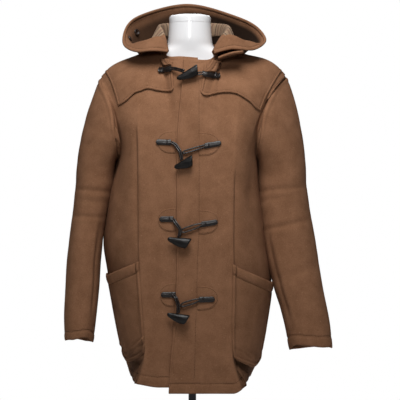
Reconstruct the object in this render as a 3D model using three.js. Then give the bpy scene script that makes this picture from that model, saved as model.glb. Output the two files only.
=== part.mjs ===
// A duffle coat on a limbless torso form with a pole and a round foot.
// Millimetres, +Z up, the floor at z = 0, the coat's front towards -Y.
// The wearer's left is +X. The origin is the middle of the foot's underside.
import * as THREE from 'three';
import { mergeVertices } from 'three/addons/utils/BufferGeometryUtils.js';

// Driving dimensions
const clothThickness = 3;
const seamGap = 0.4;
const underarmHeight = 945;
const leftHemHeight = 351;
const rightHemHeight = 366;
const backHemHeight = 377;
const hemTurnStart = { left: 0.42, right: 0.3 };
const hemTurnEnd = 0.56;
const lapRecess = 4;
const collarRecess = 5;
const yokeLift = 1.7;
const patchThickness = 1.2;
const poleRadius = 10;
const footRadius = 150;
const footHeight = 12;
const neckCentreX = -6;
const armholeGap = 1.5;
const cordRadius = 1.7;
const strapWidth = 11;
const strapThickness = 2;

const melton = { color: 0x95694a, roughness: 0.95, metalness: 0 };
const liningCloth = { color: 0xb79d7c, roughness: 0.9, metalness: 0 };
const horn = { color: 0x17120f, roughness: 0.3, metalness: 0 };
const leather = { color: 0x231a17, roughness: 0.5, metalness: 0 };
const buttonHorn = { color: 0x2a1d18, roughness: 0.35, metalness: 0 };
const formShell = { color: 0xeeeeee, roughness: 0.3, metalness: 0 };
const darkMetal = { color: 0x2b2b2e, roughness: 0.35, metalness: 0.9 };

const group = new THREE.Group();
group.name = 'duffle_coat';

// Small helpers
const mix = (a, b, t) => a + (b - a) * t;
const clamp01 = (t) => Math.min(1, Math.max(0, t));
const smooth = (t) => clamp01(t) ** 2 * (3 - 2 * clamp01(t));
const point = (x, y, z) => new THREE.Vector3(x, y, z);

function add(name, geometry, look) {
  const mesh = new THREE.Mesh(geometry, new THREE.MeshStandardMaterial(look));
  mesh.name = name;
  group.add(mesh);
}

// A named column of a table as a smooth function of another column
function track(rows, key, column) {
  return (at) => {
    const last = rows.length - 1;
    if (at <= rows[0][key]) return rows[0][column];
    if (at >= rows[last][key]) return rows[last][column];
    let i = 0;
    while (rows[i + 1][key] < at) i += 1;
    const before = rows[Math.max(i - 1, 0)];
    const after = rows[Math.min(i + 2, last)];
    const width = rows[i + 1][key] - rows[i][key];
    const t = (at - rows[i][key]) / width;
    const slopeIn = (rows[i + 1][column] - before[column]) / (rows[i + 1][key] - before[key]) * width;
    const slopeOut = (after[column] - rows[i][column]) / (after[key] - rows[i][key]) * width;
    const square = t * t;
    const cube = square * t;
    return (2 * cube - 3 * square + 1) * rows[i][column] + (cube - 2 * square + t) * slopeIn
      + (3 * square - 2 * cube) * rows[i + 1][column] + (cube - square) * slopeOut;
  };
}

function curveThrough(rows) {
  const points = rows.map((row) => point(row.x, row.y, row.z));
  return new THREE.CatmullRomCurve3(points, false, 'centripetal');
}

// A curve that is known by its two ends and the direction it takes at each
function bow(from, leaving, to, arriving, t) {
  const square = t * t;
  const cube = square * t;
  return new THREE.Vector3()
    .addScaledVector(from, 2 * cube - 3 * square + 1)
    .addScaledVector(leaving, cube - 2 * square + t)
    .addScaledVector(to, 3 * square - 2 * cube)
    .addScaledVector(arriving, cube - square);
}

// The normal of a surface given as a function of u and v
function normalAt(surface, u, v) {
  const step = 0.004;
  const alongU = surface(clamp01(u + step), v).sub(surface(clamp01(u - step), v));
  const alongV = surface(u, clamp01(v + step)).sub(surface(u, clamp01(v - step)));
  return alongU.cross(alongV).normalize();
}

// The same for a surface that closes on itself around u
function ringNormal(surface, u, v) {
  const step = 0.01;
  const alongU = surface((u + step) % 1, v).sub(surface((u + 1 - step) % 1, v));
  const alongV = surface(u % 1, clamp01(v + step)).sub(surface(u % 1, clamp01(v - step)));
  return alongU.cross(alongV).normalize();
}

// A closed wall of cloth: a grid of points, and the same grid moved inwards
function wall(surface, options) {
  const { across, along, thickness = clothThickness, seam = null, sign = 1 } = options;
  const outer = [];
  const inner = [];
  for (let j = 0; j <= along; j += 1) {
    for (let i = 0; i <= across; i += 1) {
      const u = i / across;
      const v = j / along;
      const here = surface(u, v);
      const normal = normalAt(surface, u, v).multiplyScalar(sign);
      if (seam) seam(u, v, normal);
      outer.push(here);
      inner.push(here.clone().addScaledVector(normal.normalize(), -thickness));
    }
  }
  return closeGrid(outer, inner, across + 1, along);
}

function closeGrid(outer, inner, columns, along) {
  const points = [...outer, ...inner];
  const shift = outer.length;
  const faces = [];
  const quad = (a, b, c, d) => faces.push(a, b, c, a, c, d);
  for (let j = 0; j < along; j += 1) {
    for (let i = 0; i < columns - 1; i += 1) {
      const a = j * columns + i;
      quad(a, a + 1, a + 1 + columns, a + columns);
      quad(shift + a, shift + a + columns, shift + a + 1 + columns, shift + a + 1);
    }
  }
  for (let i = 0; i < columns - 1; i += 1) {
    const top = along * columns;
    quad(i, shift + i, shift + i + 1, i + 1);
    quad(top + i, top + i + 1, shift + top + i + 1, shift + top + i);
  }
  for (let j = 0; j < along; j += 1) {
    const low = j * columns;
    const high = low + columns;
    const end = columns - 1;
    quad(low, high, shift + high, shift + low);
    quad(low + end, shift + low + end, shift + high + end, high + end);
  }
  return solidFrom(points, faces);
}

// Turns the faces outwards where the volume comes out negative
function solidFrom(points, faces) {
  let volume = 0;
  for (let i = 0; i < faces.length; i += 3) {
    const [a, b, c] = [points[faces[i]], points[faces[i + 1]], points[faces[i + 2]]];
    volume += a.dot(b.clone().cross(c));
  }
  const order = volume < 0 ? faces.slice().reverse() : faces;
  const geometry = new THREE.BufferGeometry();
  const flat = points.flatMap((p) => [p.x, p.y, p.z]);
  geometry.setAttribute('position', new THREE.Float32BufferAttribute(flat, 3));
  geometry.setIndex(order);
  return geometry;
}

function plain(geometry) {
  geometry.deleteAttribute('normal');
  geometry.deleteAttribute('uv');
  return mergeVertices(geometry, 0.001);
}

// The body's cross-section at each height: side seams, front creases, front and back faces.
// flank is how far forward the side keeps its width.
const bodyRows = [
  { z: 350, sideRight: -152, sideLeft: 147, creaseRight: -146, creaseLeft: 141, front: -150, flank: -120, back: 136 },
  { z: 385, sideRight: -164, sideLeft: 156, creaseRight: -145, creaseLeft: 136, front: -150, flank: -105, back: 139 },
  { z: 418, sideRight: -175, sideLeft: 175, creaseRight: -134, creaseLeft: 120, front: -151, flank: -85, back: 141 },
  { z: 445, sideRight: -183, sideLeft: 181, creaseRight: -122, creaseLeft: 107, front: -152, flank: -80, back: 143 },
  { z: 500, sideRight: -195, sideLeft: 192, creaseRight: -123, creaseLeft: 103, front: -152, flank: -85, back: 146 },
  { z: 606, sideRight: -214, sideLeft: 202, creaseRight: -130, creaseLeft: 104, front: -152, flank: -95, back: 150 },
  { z: 668, sideRight: -225, sideLeft: 199, creaseRight: -134, creaseLeft: 104, front: -152, flank: -100, back: 150 },
  { z: 715, sideRight: -232, sideLeft: 190, creaseRight: -135, creaseLeft: 104, front: -152, flank: -104, back: 149 },
  { z: 760, sideRight: -229, sideLeft: 184, creaseRight: -136, creaseLeft: 105, front: -152, flank: -108, back: 148 },
  { z: 850, sideRight: -212, sideLeft: 174, creaseRight: -136, creaseLeft: 106, front: -151, flank: -116, back: 146 },
  { z: 945, sideRight: -197, sideLeft: 169, creaseRight: -134, creaseLeft: 108, front: -149, flank: -122, back: 144 },
];
const sideY = 12;
const body = {};
for (const column of Object.keys(bodyRows[0])) body[column] = track(bodyRows, 'z', column);

// The front edge of each front
const leftEdgeRows = [
  { z: 350, x: -58 }, { z: 420, x: -55 }, { z: 520, x: -46 }, { z: 640, x: -39 },
  { z: 1120, x: -36 }, { z: 1200, x: -22 },
];
const leftEdge = track(leftEdgeRows, 'z', 'x');
const rightEdge = () => 14;

// The armholes, from the shoulder's tip round the front or the back to the underarm
const armhole = {
  left: {
    front: [
      { x: 247, y: 14, z: 1156 }, { x: 225, y: -22, z: 1138 }, { x: 203, y: -60, z: 1103 },
      { x: 186, y: -88, z: 1066 }, { x: 176, y: -101, z: 1020 }, { x: 170, y: -88, z: 978 },
      { x: 168, y: -44, z: 952 }, { x: 169, y: sideY, z: 945 },
    ],
    back: [
      { x: 247, y: 14, z: 1156 }, { x: 231, y: 50, z: 1136 }, { x: 214, y: 82, z: 1100 },
      { x: 201, y: 101, z: 1060 }, { x: 192, y: 106, z: 1020 }, { x: 181, y: 96, z: 978 },
      { x: 173, y: 62, z: 952 }, { x: 169, y: sideY, z: 945 },
    ],
  },
  right: {
    front: [
      { x: -242, y: 14, z: 1152 }, { x: -236, y: -22, z: 1134 }, { x: -220, y: -60, z: 1106 },
      { x: -206, y: -88, z: 1070 }, { x: -197, y: -101, z: 1020 }, { x: -192, y: -88, z: 978 },
      { x: -194, y: -44, z: 952 }, { x: -197, y: sideY, z: 945 },
    ],
    back: [
      { x: -242, y: 14, z: 1152 }, { x: -234, y: 50, z: 1134 }, { x: -222, y: 82, z: 1100 },
      { x: -212, y: 101, z: 1060 }, { x: -206, y: 106, z: 1020 }, { x: -201, y: 96, z: 978 },
      { x: -198, y: 62, z: 952 }, { x: -197, y: sideY, z: 945 },
    ],
  },
};

// The neckline, from each front edge to the shoulder seam, and round the back
const neckline = {
  left: [
    { x: -22, y: -101, z: 1192 }, { x: 14, y: -101, z: 1192 }, { x: 44, y: -97, z: 1192 },
    { x: 58, y: -80, z: 1202 }, { x: 67, y: -45, z: 1217 }, { x: 72, y: 14, z: 1240 },
  ],
  right: [
    { x: 14, y: -101, z: 1197 }, { x: -30, y: -101, z: 1200 }, { x: -56, y: -97, z: 1200 },
    { x: -68, y: -76, z: 1206 }, { x: -77, y: -40, z: 1220 }, { x: -84, y: 14, z: 1240 },
  ],
  back: [
    { x: -84, y: 14, z: 1240 }, { x: -76, y: 44, z: 1245 }, { x: -48, y: 74, z: 1243 },
    { x: -6, y: 85, z: 1240 }, { x: 36, y: 74, z: 1243 }, { x: 64, y: 44, z: 1245 },
    { x: 72, y: 14, z: 1240 },
  ],
};

// Where a front's columns end: neckline, then shoulder seam, then armhole
const neckShare = 0.36;
const shoulderShare = 0.7;
const creaseShare = 0.52;

// The shoulder seam is round: how far it stands above the straight line from neck to tip
const shoulderRound = { left: 19, right: 15 };
const shoulderRise = (side, t) => shoulderRound[side] * Math.sin(Math.PI * t ** 2.2);

function frontTop(side) {
  const neck = curveThrough(neckline[side]);
  const arm = curveThrough(armhole[side].front);
  const neckPoint = neck.getPoint(1);
  const tip = arm.getPoint(0);
  return (u) => {
    if (u < neckShare) return neck.getPoint(u / neckShare);
    if (u < shoulderShare) {
      const t = (u - neckShare) / (shoulderShare - neckShare);
      return neckPoint.clone().lerp(tip, t).add(point(0, 0, shoulderRise(side, t)));
    }
    return arm.getPoint((u - shoulderShare) / (1 - shoulderShare));
  };
}

// The direction in which the cloth arrives at that edge
const arrivalRows = [
  { u: 0, out: 0, y: 0.35, z: 0.75 }, { u: 0.1, out: 0, y: 0.35, z: 0.75 },
  { u: 0.22, out: 0.02, y: 0.38, z: 0.72 },
  { u: neckShare, out: 0.1, y: 0.95, z: 0.3 }, { u: shoulderShare, out: 0.3, y: 0.9, z: 0.25 },
  { u: 0.78, out: 0.45, y: 0.55, z: 0.6 }, { u: 0.86, out: 0.2, y: 0.1, z: 0.95 },
  { u: 1, out: 0, y: 0, z: 1 },
];
const arrival = {};
for (const column of ['out', 'y', 'z']) arrival[column] = track(arrivalRows, 'u', column);

function frontRing(side, u, z) {
  const outside = side === 'left' ? body.sideLeft(z) : body.sideRight(z);
  const crease = side === 'left' ? body.creaseLeft(z) : body.creaseRight(z);
  const edge = side === 'left' ? leftEdge(z) : rightEdge(z);
  const front = body.front(z);
  if (u < creaseShare) {
    const t = u / creaseShare;
    return point(mix(edge, crease, t), front, z);
  }
  const t = (u - creaseShare) / (1 - creaseShare);
  const back = 1 - t;
  const x = back * back * crease + (1 - back * back) * outside;
  const y = back * back * front + 2 * back * t * body.flank(z) + t * t * (sideY - seamGap / 2);
  return point(x, y, z);
}

function frontPanel(side) {
  const top = frontTop(side);
  const out = side === 'left' ? 1 : -1;
  const hem = side === 'left' ? leftHemHeight : rightHemHeight;
  return (u, v) => {
    const base = frontRing(side, u, underarmHeight);
    const end = top(u).add(point(0, -seamGap / 2, 0));
    const start = hemTurnStart[side];
    const low = mix(hem, backHemHeight, smooth((u - start) / (hemTurnEnd - start)));
    const lowLength = underarmHeight - low;
    const highLength = base.distanceTo(end);
    const reach = v * (lowLength + highLength);
    let here;
    if (reach <= lowLength) {
      here = frontRing(side, u, low + reach);
    } else {
      const leaving = point(0, 0, highLength * 1.1);
      const arriving = point(out * arrival.out(u), arrival.y(u), arrival.z(u)).multiplyScalar(highLength);
      here = bow(base, leaving, end, arriving, (reach - lowLength) / highLength);
    }
    // the right front lies under the left one
    if (side === 'right') {
      const recess = lapRecess + collarRecess * smooth((here.z - 960) / 200);
      here.y += recess * smooth((here.x + 112) / 45) * smooth((-here.y - 30) / 50);
    }
    return here;
  };
}
const leftFront = frontPanel('left');
const rightFront = frontPanel('right');

// At an armhole the body's edge is cut across the hole's rim. share runs from tip to underarm.
function armholeEdge(normal, share, out, forward) {
  const angle = Math.PI * share;
  normal.set(out * Math.max(0, -Math.cos(angle)), forward * Math.sin(angle), Math.max(0, Math.cos(angle)));
}

// Seam edges are cut square to the seam, so that neighbours stay apart
function frontSeams(side) {
  const out = side === 'left' ? 1 : -1;
  return (u, v, normal) => {
    if (v > 0.999 && u >= neckShare && u < shoulderShare) normal.set(0, 0, 1);
    else if (v > 0.999 && u >= shoulderShare) {
      armholeEdge(normal, (u - shoulderShare) / (1 - shoulderShare), out, -1);
    } else if (u > 0.999) normal.y = 0;
  };
}

// The back, from the right side seam to the left one
const backNeckShare = 0.34;
const backTipShare = 0.18;

function backPanel() {
  const neck = curveThrough(neckline.back);
  const arms = { right: curveThrough(armhole.right.back), left: curveThrough(armhole.left.back) };
  const half = (u) => Math.min(u, 1 - u);
  const top = (u) => {
    const side = u < 0.5 ? 'right' : 'left';
    const from = half(u);
    if (from < backTipShare) return arms[side].getPoint(1 - from / backTipShare);
    if (from < backNeckShare) {
      const t = (from - backTipShare) / (backNeckShare - backTipShare);
      const tip = arms[side].getPoint(0);
      const end = neck.getPoint(side === 'right' ? 0 : 1);
      return tip.lerp(end, t).add(point(0, 0, shoulderRise(side, 1 - t)));
    }
    return neck.getPoint((u - backNeckShare) / (1 - 2 * backNeckShare));
  };
  const ring = (u, z) => {
    const side = u < 0.5 ? body.sideRight(z) : body.sideLeft(z);
    const middle = (body.sideRight(z) + body.sideLeft(z)) / 2;
    const t = half(u) * 2;
    const angle = t * Math.PI / 2;
    const start = sideY + seamGap / 2;
    const x = mix(middle, side, Math.cos(angle) ** 0.75);
    return point(x, start + (body.back(z) - start) * Math.sin(angle) ** 0.8, z);
  };
  return (u, v) => {
    const base = ring(u, underarmHeight);
    const end = top(u).add(point(0, seamGap / 2, 0));
    const lowLength = underarmHeight - backHemHeight;
    const highLength = base.distanceTo(end);
    const reach = v * (lowLength + highLength);
    if (reach <= lowLength) return ring(u, backHemHeight + reach);
    const from = half(u);
    const turned = smooth((from - 0.04) / 0.14);
    const neckTurn = smooth((from - backTipShare) / 0.3);
    const out = (u < 0.5 ? -1 : 1) * 0.35 * turned * (1 - neckTurn);
    const leaving = point(0, 0, highLength * 1.1);
    const arriving = point(out, -0.85 * turned, mix(1, 0.3, turned)).multiplyScalar(highLength);
    return bow(base, leaving, end, arriving, (reach - lowLength) / highLength);
  };
}
const back = backPanel();

function backSeams(u, v, normal) {
  const from = Math.min(u, 1 - u);
  if (v > 0.999 && from >= backTipShare && from <= backNeckShare + 0.001) normal.set(0, 0, 1);
  else if (v > 0.999 && from < backTipShare) {
    armholeEdge(normal, 1 - from / backTipShare, u < 0.5 ? -1 : 1, 1);
  } else if (from < 0.001) normal.y = 0;
}

// The back is two panels that meet at a seam down the middle, a hair apart
const backHalfGap = 0.0003;
function backHalf(side) {
  const share = (u) => (side === 'right' ? u * (0.5 - backHalfGap) : mix(0.5 + backHalfGap, 1, u));
  const seam = (u, v, normal) => {
    const middle = side === 'right' ? u > 0.999 : u < 0.001;
    if (middle) normal.copy(normalAt(back, 0.5, v)).multiplyScalar(-1);
    backSeams(middle ? 0.5 : share(u), v, normal);
  };
  return wall((u, v) => back(share(u), v), { across: 10, along: 16, seam, sign: -1 });
}

add('front_left', wall(leftFront, { across: 16, along: 26, seam: frontSeams('left') }), melton);
add('front_right', wall(rightFront, { across: 16, along: 26, seam: frontSeams('right'), sign: -1 }), melton);
add('back_left', backHalf('left'), melton);
add('back_right', backHalf('right'), melton);

// The sleeves' cross-sections below the armholes: nearest the body, farthest, front and back
const sleeveTop = 880;
const sleeveRows = {
  left: [
    { z: 457, inner: 250, outer: 361, front: -92, back: 12 },
    { z: 522, inner: 236, outer: 355, front: -88, back: 24 },
    { z: 606, inner: 215, outer: 338, front: -82, back: 38 },
    { z: 668, inner: 202, outer: 328, front: -77, back: 50 },
    { z: 715, inner: 193.5, outer: 322, front: -74, back: 58 },
    { z: 760, inner: 187.5, outer: 315, front: -72, back: 65 },
    { z: 820, inner: 180, outer: 305, front: -72, back: 74 },
    { z: 880, inner: 177, outer: 296, front: -75, back: 84 },
  ],
  right: [
    { z: 476, inner: -256, outer: -328, front: -88, back: 18 },
    { z: 540, inner: -247, outer: -331, front: -84, back: 30 },
    { z: 606, inner: -241, outer: -329, front: -80, back: 42 },
    { z: 668, inner: -238, outer: -326, front: -76, back: 52 },
    { z: 715, inner: -234.5, outer: -322, front: -74, back: 60 },
    { z: 760, inner: -232, outer: -317, front: -72, back: 66 },
    { z: 820, inner: -221, outer: -309, front: -72, back: 76 },
    { z: 880, inner: -210, outer: -302, front: -75, back: 86 },
  ],
};

// Creases across the sleeves: how deep, how wide, and how much they climb outwards
const sleeveCreases = {
  left: [
    { z: 868, deep: 4, wide: 9, climb: 0.12 }, { z: 778, deep: 5, wide: 11, climb: 0.3 },
    { z: 640, deep: 3, wide: 14, climb: 0.4 },
  ],
  right: [
    { z: 975, deep: 4, wide: 10, climb: 0.15 }, { z: 902, deep: 4, wide: 9, climb: 0.1 },
    { z: 852, deep: 3, wide: 9, climb: 0 },
  ],
};

function sleeveSurface(side) {
  const out = side === 'left' ? 1 : -1;
  const front = curveThrough(armhole[side].front);
  const rear = curveThrough(armhole[side].back);
  const rows = sleeveRows[side];
  const cuff = rows[0].z;
  const tracks = {};
  for (const column of ['inner', 'outer', 'front', 'back']) tracks[column] = track(rows, 'z', column);
  const section = (angle, z) => {
    const wide = Math.sign(Math.cos(angle)) * Math.abs(Math.cos(angle)) ** 0.9;
    const deep = Math.sign(Math.sin(angle)) * Math.abs(Math.sin(angle)) ** 0.9;
    const x = mix(tracks.inner(z), tracks.outer(z), (1 + wide) / 2);
    return point(x, mix(tracks.back(z), tracks.front(z), (1 + deep) / 2), z);
  };
  return (u, v) => {
    const angle = 2 * Math.PI * u;
    const start = u < 0.5 ? front.getPoint(2 * u) : rear.getPoint(2 - 2 * u);
    start.x += out * (armholeGap + 1.6 * Math.max(0, -Math.cos(angle)) + 0.6 * Math.max(0, -Math.sin(angle)));
    const joined = section(angle, sleeveTop);
    const topLength = start.distanceTo(joined);
    const reach = v * (topLength + sleeveTop - cuff);
    let here;
    if (reach >= topLength) {
      here = section(angle, sleeveTop - (reach - topLength));
    } else {
      const aside = 0.37 + 0.3 * Math.abs(Math.sin(angle));
      const leaving = point(out * aside, 0, -Math.sqrt(1 - aside * aside)).multiplyScalar(topLength);
      here = bow(start, leaving, joined, point(0, 0, -topLength), reach / topLength);
    }
    const facing = 0.35 + 0.65 * Math.max(0, Math.sin(angle));
    for (const crease of sleeveCreases[side]) {
      const above = (here.z - crease.z - crease.climb * (out * here.x - 250)) / crease.wide;
      const depth = crease.deep * facing * Math.exp(-above * above) * Math.min(1, v * 12);
      here.x -= out * depth * Math.cos(angle);
      here.y += depth * Math.sin(angle);
    }
    return here;
  };
}

function sleeveEdge(side) {
  const out = side === 'left' ? 1 : -1;
  return (u, v, normal) => {
    if (v > 0.001) return;
    const angle = 2 * Math.PI * u;
    const aside = -out * Math.max(0, -Math.cos(angle));
    normal.set(aside, -Math.sin(angle), Math.max(0, Math.cos(angle)));
  };
}
const sleeve = { left: sleeveSurface('left'), right: sleeveSurface('right') };

// Each sleeve is a front and a back piece, with seams along its outer and inner sides
const sleeveHalfGap = 0.0005;
function sleeveHalf(side, start) {
  const sign = side === 'left' ? 1 : -1;
  const share = (u) => start + mix(sleeveHalfGap, 0.5 - sleeveHalfGap, u);
  const cut = sleeveEdge(side);
  const seam = (u, v, normal) => {
    const edge = u < 0.001 || u > 0.999;
    if (edge) normal.copy(ringNormal(sleeve[side], start + u / 2, v)).multiplyScalar(sign);
    cut(edge ? start + u / 2 : share(u), v, normal);
  };
  return wall((u, v) => sleeve[side](share(u), v), { across: 8, along: 19, seam, sign });
}
for (const side of ['left', 'right']) {
  add(`sleeve_${side}_front`, sleeveHalf(side, 0), melton);
  add(`sleeve_${side}_back`, sleeveHalf(side, 0.5), melton);
}

// The torso form: a smooth closed body inside the coat, its neck and cap above it
const formRows = [
  { z: 700, wide: 120, deep: 78, y: 5 }, { z: 760, wide: 150, deep: 96, y: 2 },
  { z: 880, wide: 146, deep: 100, y: 0 }, { z: 980, wide: 152, deep: 108, y: -4 },
  { z: 1060, wide: 158, deep: 104, y: -2 }, { z: 1120, wide: 160, deep: 88, y: 4 },
  { z: 1160, wide: 154, deep: 68, y: 11 }, { z: 1190, wide: 122, deep: 57, y: 11 },
  { z: 1215, wide: 94, deep: 55, y: 8 }, { z: 1232, wide: 64, deep: 54, y: 4 },
  { z: 1250, wide: 58, deep: 55, y: 2 }, { z: 1294, wide: 54.5, deep: 54, y: 0 },
];
const formWide = track(formRows, 'z', 'wide');
const formDeep = track(formRows, 'z', 'deep');
const formY = track(formRows, 'z', 'y');

// Closes rings of points with a point in the middle of each end
function closedRings(rings) {
  const points = rings.flat();
  const size = rings[0].length;
  const faces = [];
  for (let j = 0; j < rings.length - 1; j += 1) {
    for (let i = 0; i < size; i += 1) {
      const a = j * size + i;
      const b = j * size + (i + 1) % size;
      faces.push(a, b, b + size, a, b + size, a + size);
    }
  }
  for (const end of [0, rings.length - 1]) {
    const middle = new THREE.Vector3();
    for (const p of rings[end]) middle.addScaledVector(p, 1 / size);
    points.push(middle);
    for (let i = 0; i < size; i += 1) {
      const a = end * size + i;
      const b = end * size + (i + 1) % size;
      if (end === 0) faces.push(points.length - 1, b, a);
      else faces.push(points.length - 1, a, b);
    }
  }
  return solidFrom(points, faces);
}

function formSolid() {
  const around = 24;
  const heights = [700, 706, 730, 790, 880, 980, 1060, 1110, 1150, 1185, 1210, 1228, 1245, 1294];
  const rings = heights.map((z, j) => {
    const shrink = [0.9, 0.97, 1][Math.min(j, 2)];
    return Array.from({ length: around }, (_, i) => {
      const angle = 2 * Math.PI * i / around;
      const x = neckCentreX + shrink * formWide(z) * Math.cos(angle);
      return point(x, formY(z) + shrink * formDeep(z) * Math.sin(angle), z);
    });
  });
  return closedRings(rings);
}
add('torso_form', formSolid(), formShell);

const capBottom = 1294.4;
const capTop = 1314;
const capProfile = [
  new THREE.Vector2(0, capBottom), new THREE.Vector2(54.5, capBottom), new THREE.Vector2(54.5, capTop - 7),
  new THREE.Vector2(52.5, capTop - 2), new THREE.Vector2(48, capTop), new THREE.Vector2(0, capTop),
];

// Turned shapes: a profile round the upright axis at x, y
function turned(profile, sides, x, y) {
  const geometry = plain(new THREE.LatheGeometry(profile, sides));
  geometry.rotateX(Math.PI / 2);
  geometry.translate(x, y, 0);
  return geometry;
}
add('neck_cap', turned(capProfile, 24, neckCentreX, 0), formShell);
const poleProfile = [
  new THREE.Vector2(0, footHeight + 0.3), new THREE.Vector2(poleRadius, footHeight + 0.3),
  new THREE.Vector2(poleRadius, 699.6), new THREE.Vector2(0, 699.6),
];
add('pole', turned(poleProfile, 16, 0, 0), darkMetal);
const footProfile = [
  new THREE.Vector2(0, 0), new THREE.Vector2(footRadius, 0), new THREE.Vector2(footRadius, 4),
  new THREE.Vector2(footRadius - 3, 7), new THREE.Vector2(40, footHeight), new THREE.Vector2(0, footHeight),
];
add('foot', turned(footProfile, 36, 0, 0), darkMetal);

// Finds where a panel is, seen from the front: the u and v of the point at x and z
function seek(panel, x, z) {
  const step = 0.001;
  let u = 0.4;
  let v = 0.6;
  for (let round = 0; round < 40; round += 1) {
    const here = panel(u, v);
    const byU = panel(u + step, v).sub(here).divideScalar(step);
    const byV = panel(u, v + step).sub(here).divideScalar(step);
    const turn = byU.x * byV.z - byV.x * byU.z;
    const awayX = x - here.x;
    const awayZ = z - here.z;
    u = Math.min(0.995, Math.max(0.002, u + 0.7 * (byV.z * awayX - byV.x * awayZ) / turn));
    v = Math.min(0.995, Math.max(0.002, v + 0.7 * (byU.x * awayZ - byU.z * awayX) / turn));
  }
  return { u, v };
}

// A point on one of the fronts moved out of the cloth
function lifted(side, u, v, lift) {
  const panel = side === 'left' ? leftFront : rightFront;
  const normal = normalAt(panel, u, v).multiplyScalar(side === 'left' ? 1 : -1);
  return panel(u, v).addScaledVector(normal, lift);
}
const sideAt = (x, z) => (x > leftEdge(z) ? 'left' : 'right');
function onFront(x, z, lift, side = sideAt(x, z)) {
  const found = seek(side === 'left' ? leftFront : rightFront, x, z);
  return lifted(side, found.u, found.v, lift);
}

// The yoke's lower edge on each front, from its inner corner to its outer point
const yokeRows = {
  left: [
    { x: 21, z: 1108 }, { x: 27, z: 1099 }, { x: 43, z: 1098 }, { x: 64, z: 1103 }, { x: 88, z: 1105 },
    { x: 111, z: 1102 }, { x: 131, z: 1091 }, { x: 145, z: 1082 }, { x: 157, z: 1070 }, { x: 171, z: 1060 },
  ],
  right: [
    { x: -45, z: 1117 }, { x: -50, z: 1110 }, { x: -63, z: 1108 }, { x: -87, z: 1110 }, { x: -112, z: 1115 },
    { x: -130, z: 1109 }, { x: -144, z: 1104 }, { x: -161, z: 1089 }, { x: -169, z: 1083 }, { x: -186, z: 1074 },
  ],
};
const yokeTopShare = { left: { inner: 0.11, outer: 0.672 }, right: { inner: 0.125, outer: 0.668 } };
const yokeTop = 0.997;
const neckRide = 4;
const neckNotch = { left: 0.04, right: 0.01 };
const yokeThickness = 2.8;

function yokeFront(side) {
  const rows = yokeRows[side];
  const panel = side === 'left' ? leftFront : rightFront;
  const ends = yokeTopShare[side];
  const bottom = rows.map((row) => seek(panel, row.x, row.z));
  return (s, t) => {
    const at = s * (rows.length - 1);
    const i = Math.min(Math.floor(at), rows.length - 2);
    const low = { u: mix(bottom[i].u, bottom[i + 1].u, at - i), v: mix(bottom[i].v, bottom[i + 1].v, at - i) };
    const topU = mix(ends.inner, ends.outer, s);
    const flare = 2.5 * (1 - t) ** 4 * Math.sin(Math.PI * s) ** 0.5;
    // it stops short of the hood's seam and rides over the curve beside the neck
    const besideNeck = Math.exp(-(((topU - neckShare) / 0.06) ** 2));
    const topV = yokeTop - 0.022 * smooth((neckShare + 0.04 - topU) / 0.04) - neckNotch[side] * besideNeck;
    const ride = neckRide * smooth((t - 0.6) / 0.3) * besideNeck;
    return lifted(side, mix(low.u, topU, t), mix(low.v, topV, t), yokeLift + yokeThickness + flare + ride);
  };
}
const shoulderCut = (u, v, normal) => {
  if (v > 0.999) normal.y = 0;
};
const yokeGrid = { across: 14, along: 6, thickness: yokeThickness, seam: shoulderCut };
add('yoke_left', wall(yokeFront('left'), { ...yokeGrid, sign: 1 }), melton);
add('yoke_right', wall(yokeFront('right'), { ...yokeGrid, sign: -1 }), melton);

const yokeBackDrop = 0.81;
const yokeBackLift = 4;
function yokeBack(s, t) {
  const u = mix(0.2, 0.8, s);
  const low = yokeBackDrop + 0.02 * Math.sin(Math.PI * s);
  const v = mix(low, yokeTop, t);
  return back(u, v).addScaledVector(normalAt(back, u, v), -(yokeBackLift + yokeThickness));
}
const yokeBackGrid = { across: 18, along: 5, thickness: yokeThickness, seam: shoulderCut, sign: -1 };
add('yoke_back', wall(yokeBack, yokeBackGrid), melton);

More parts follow.
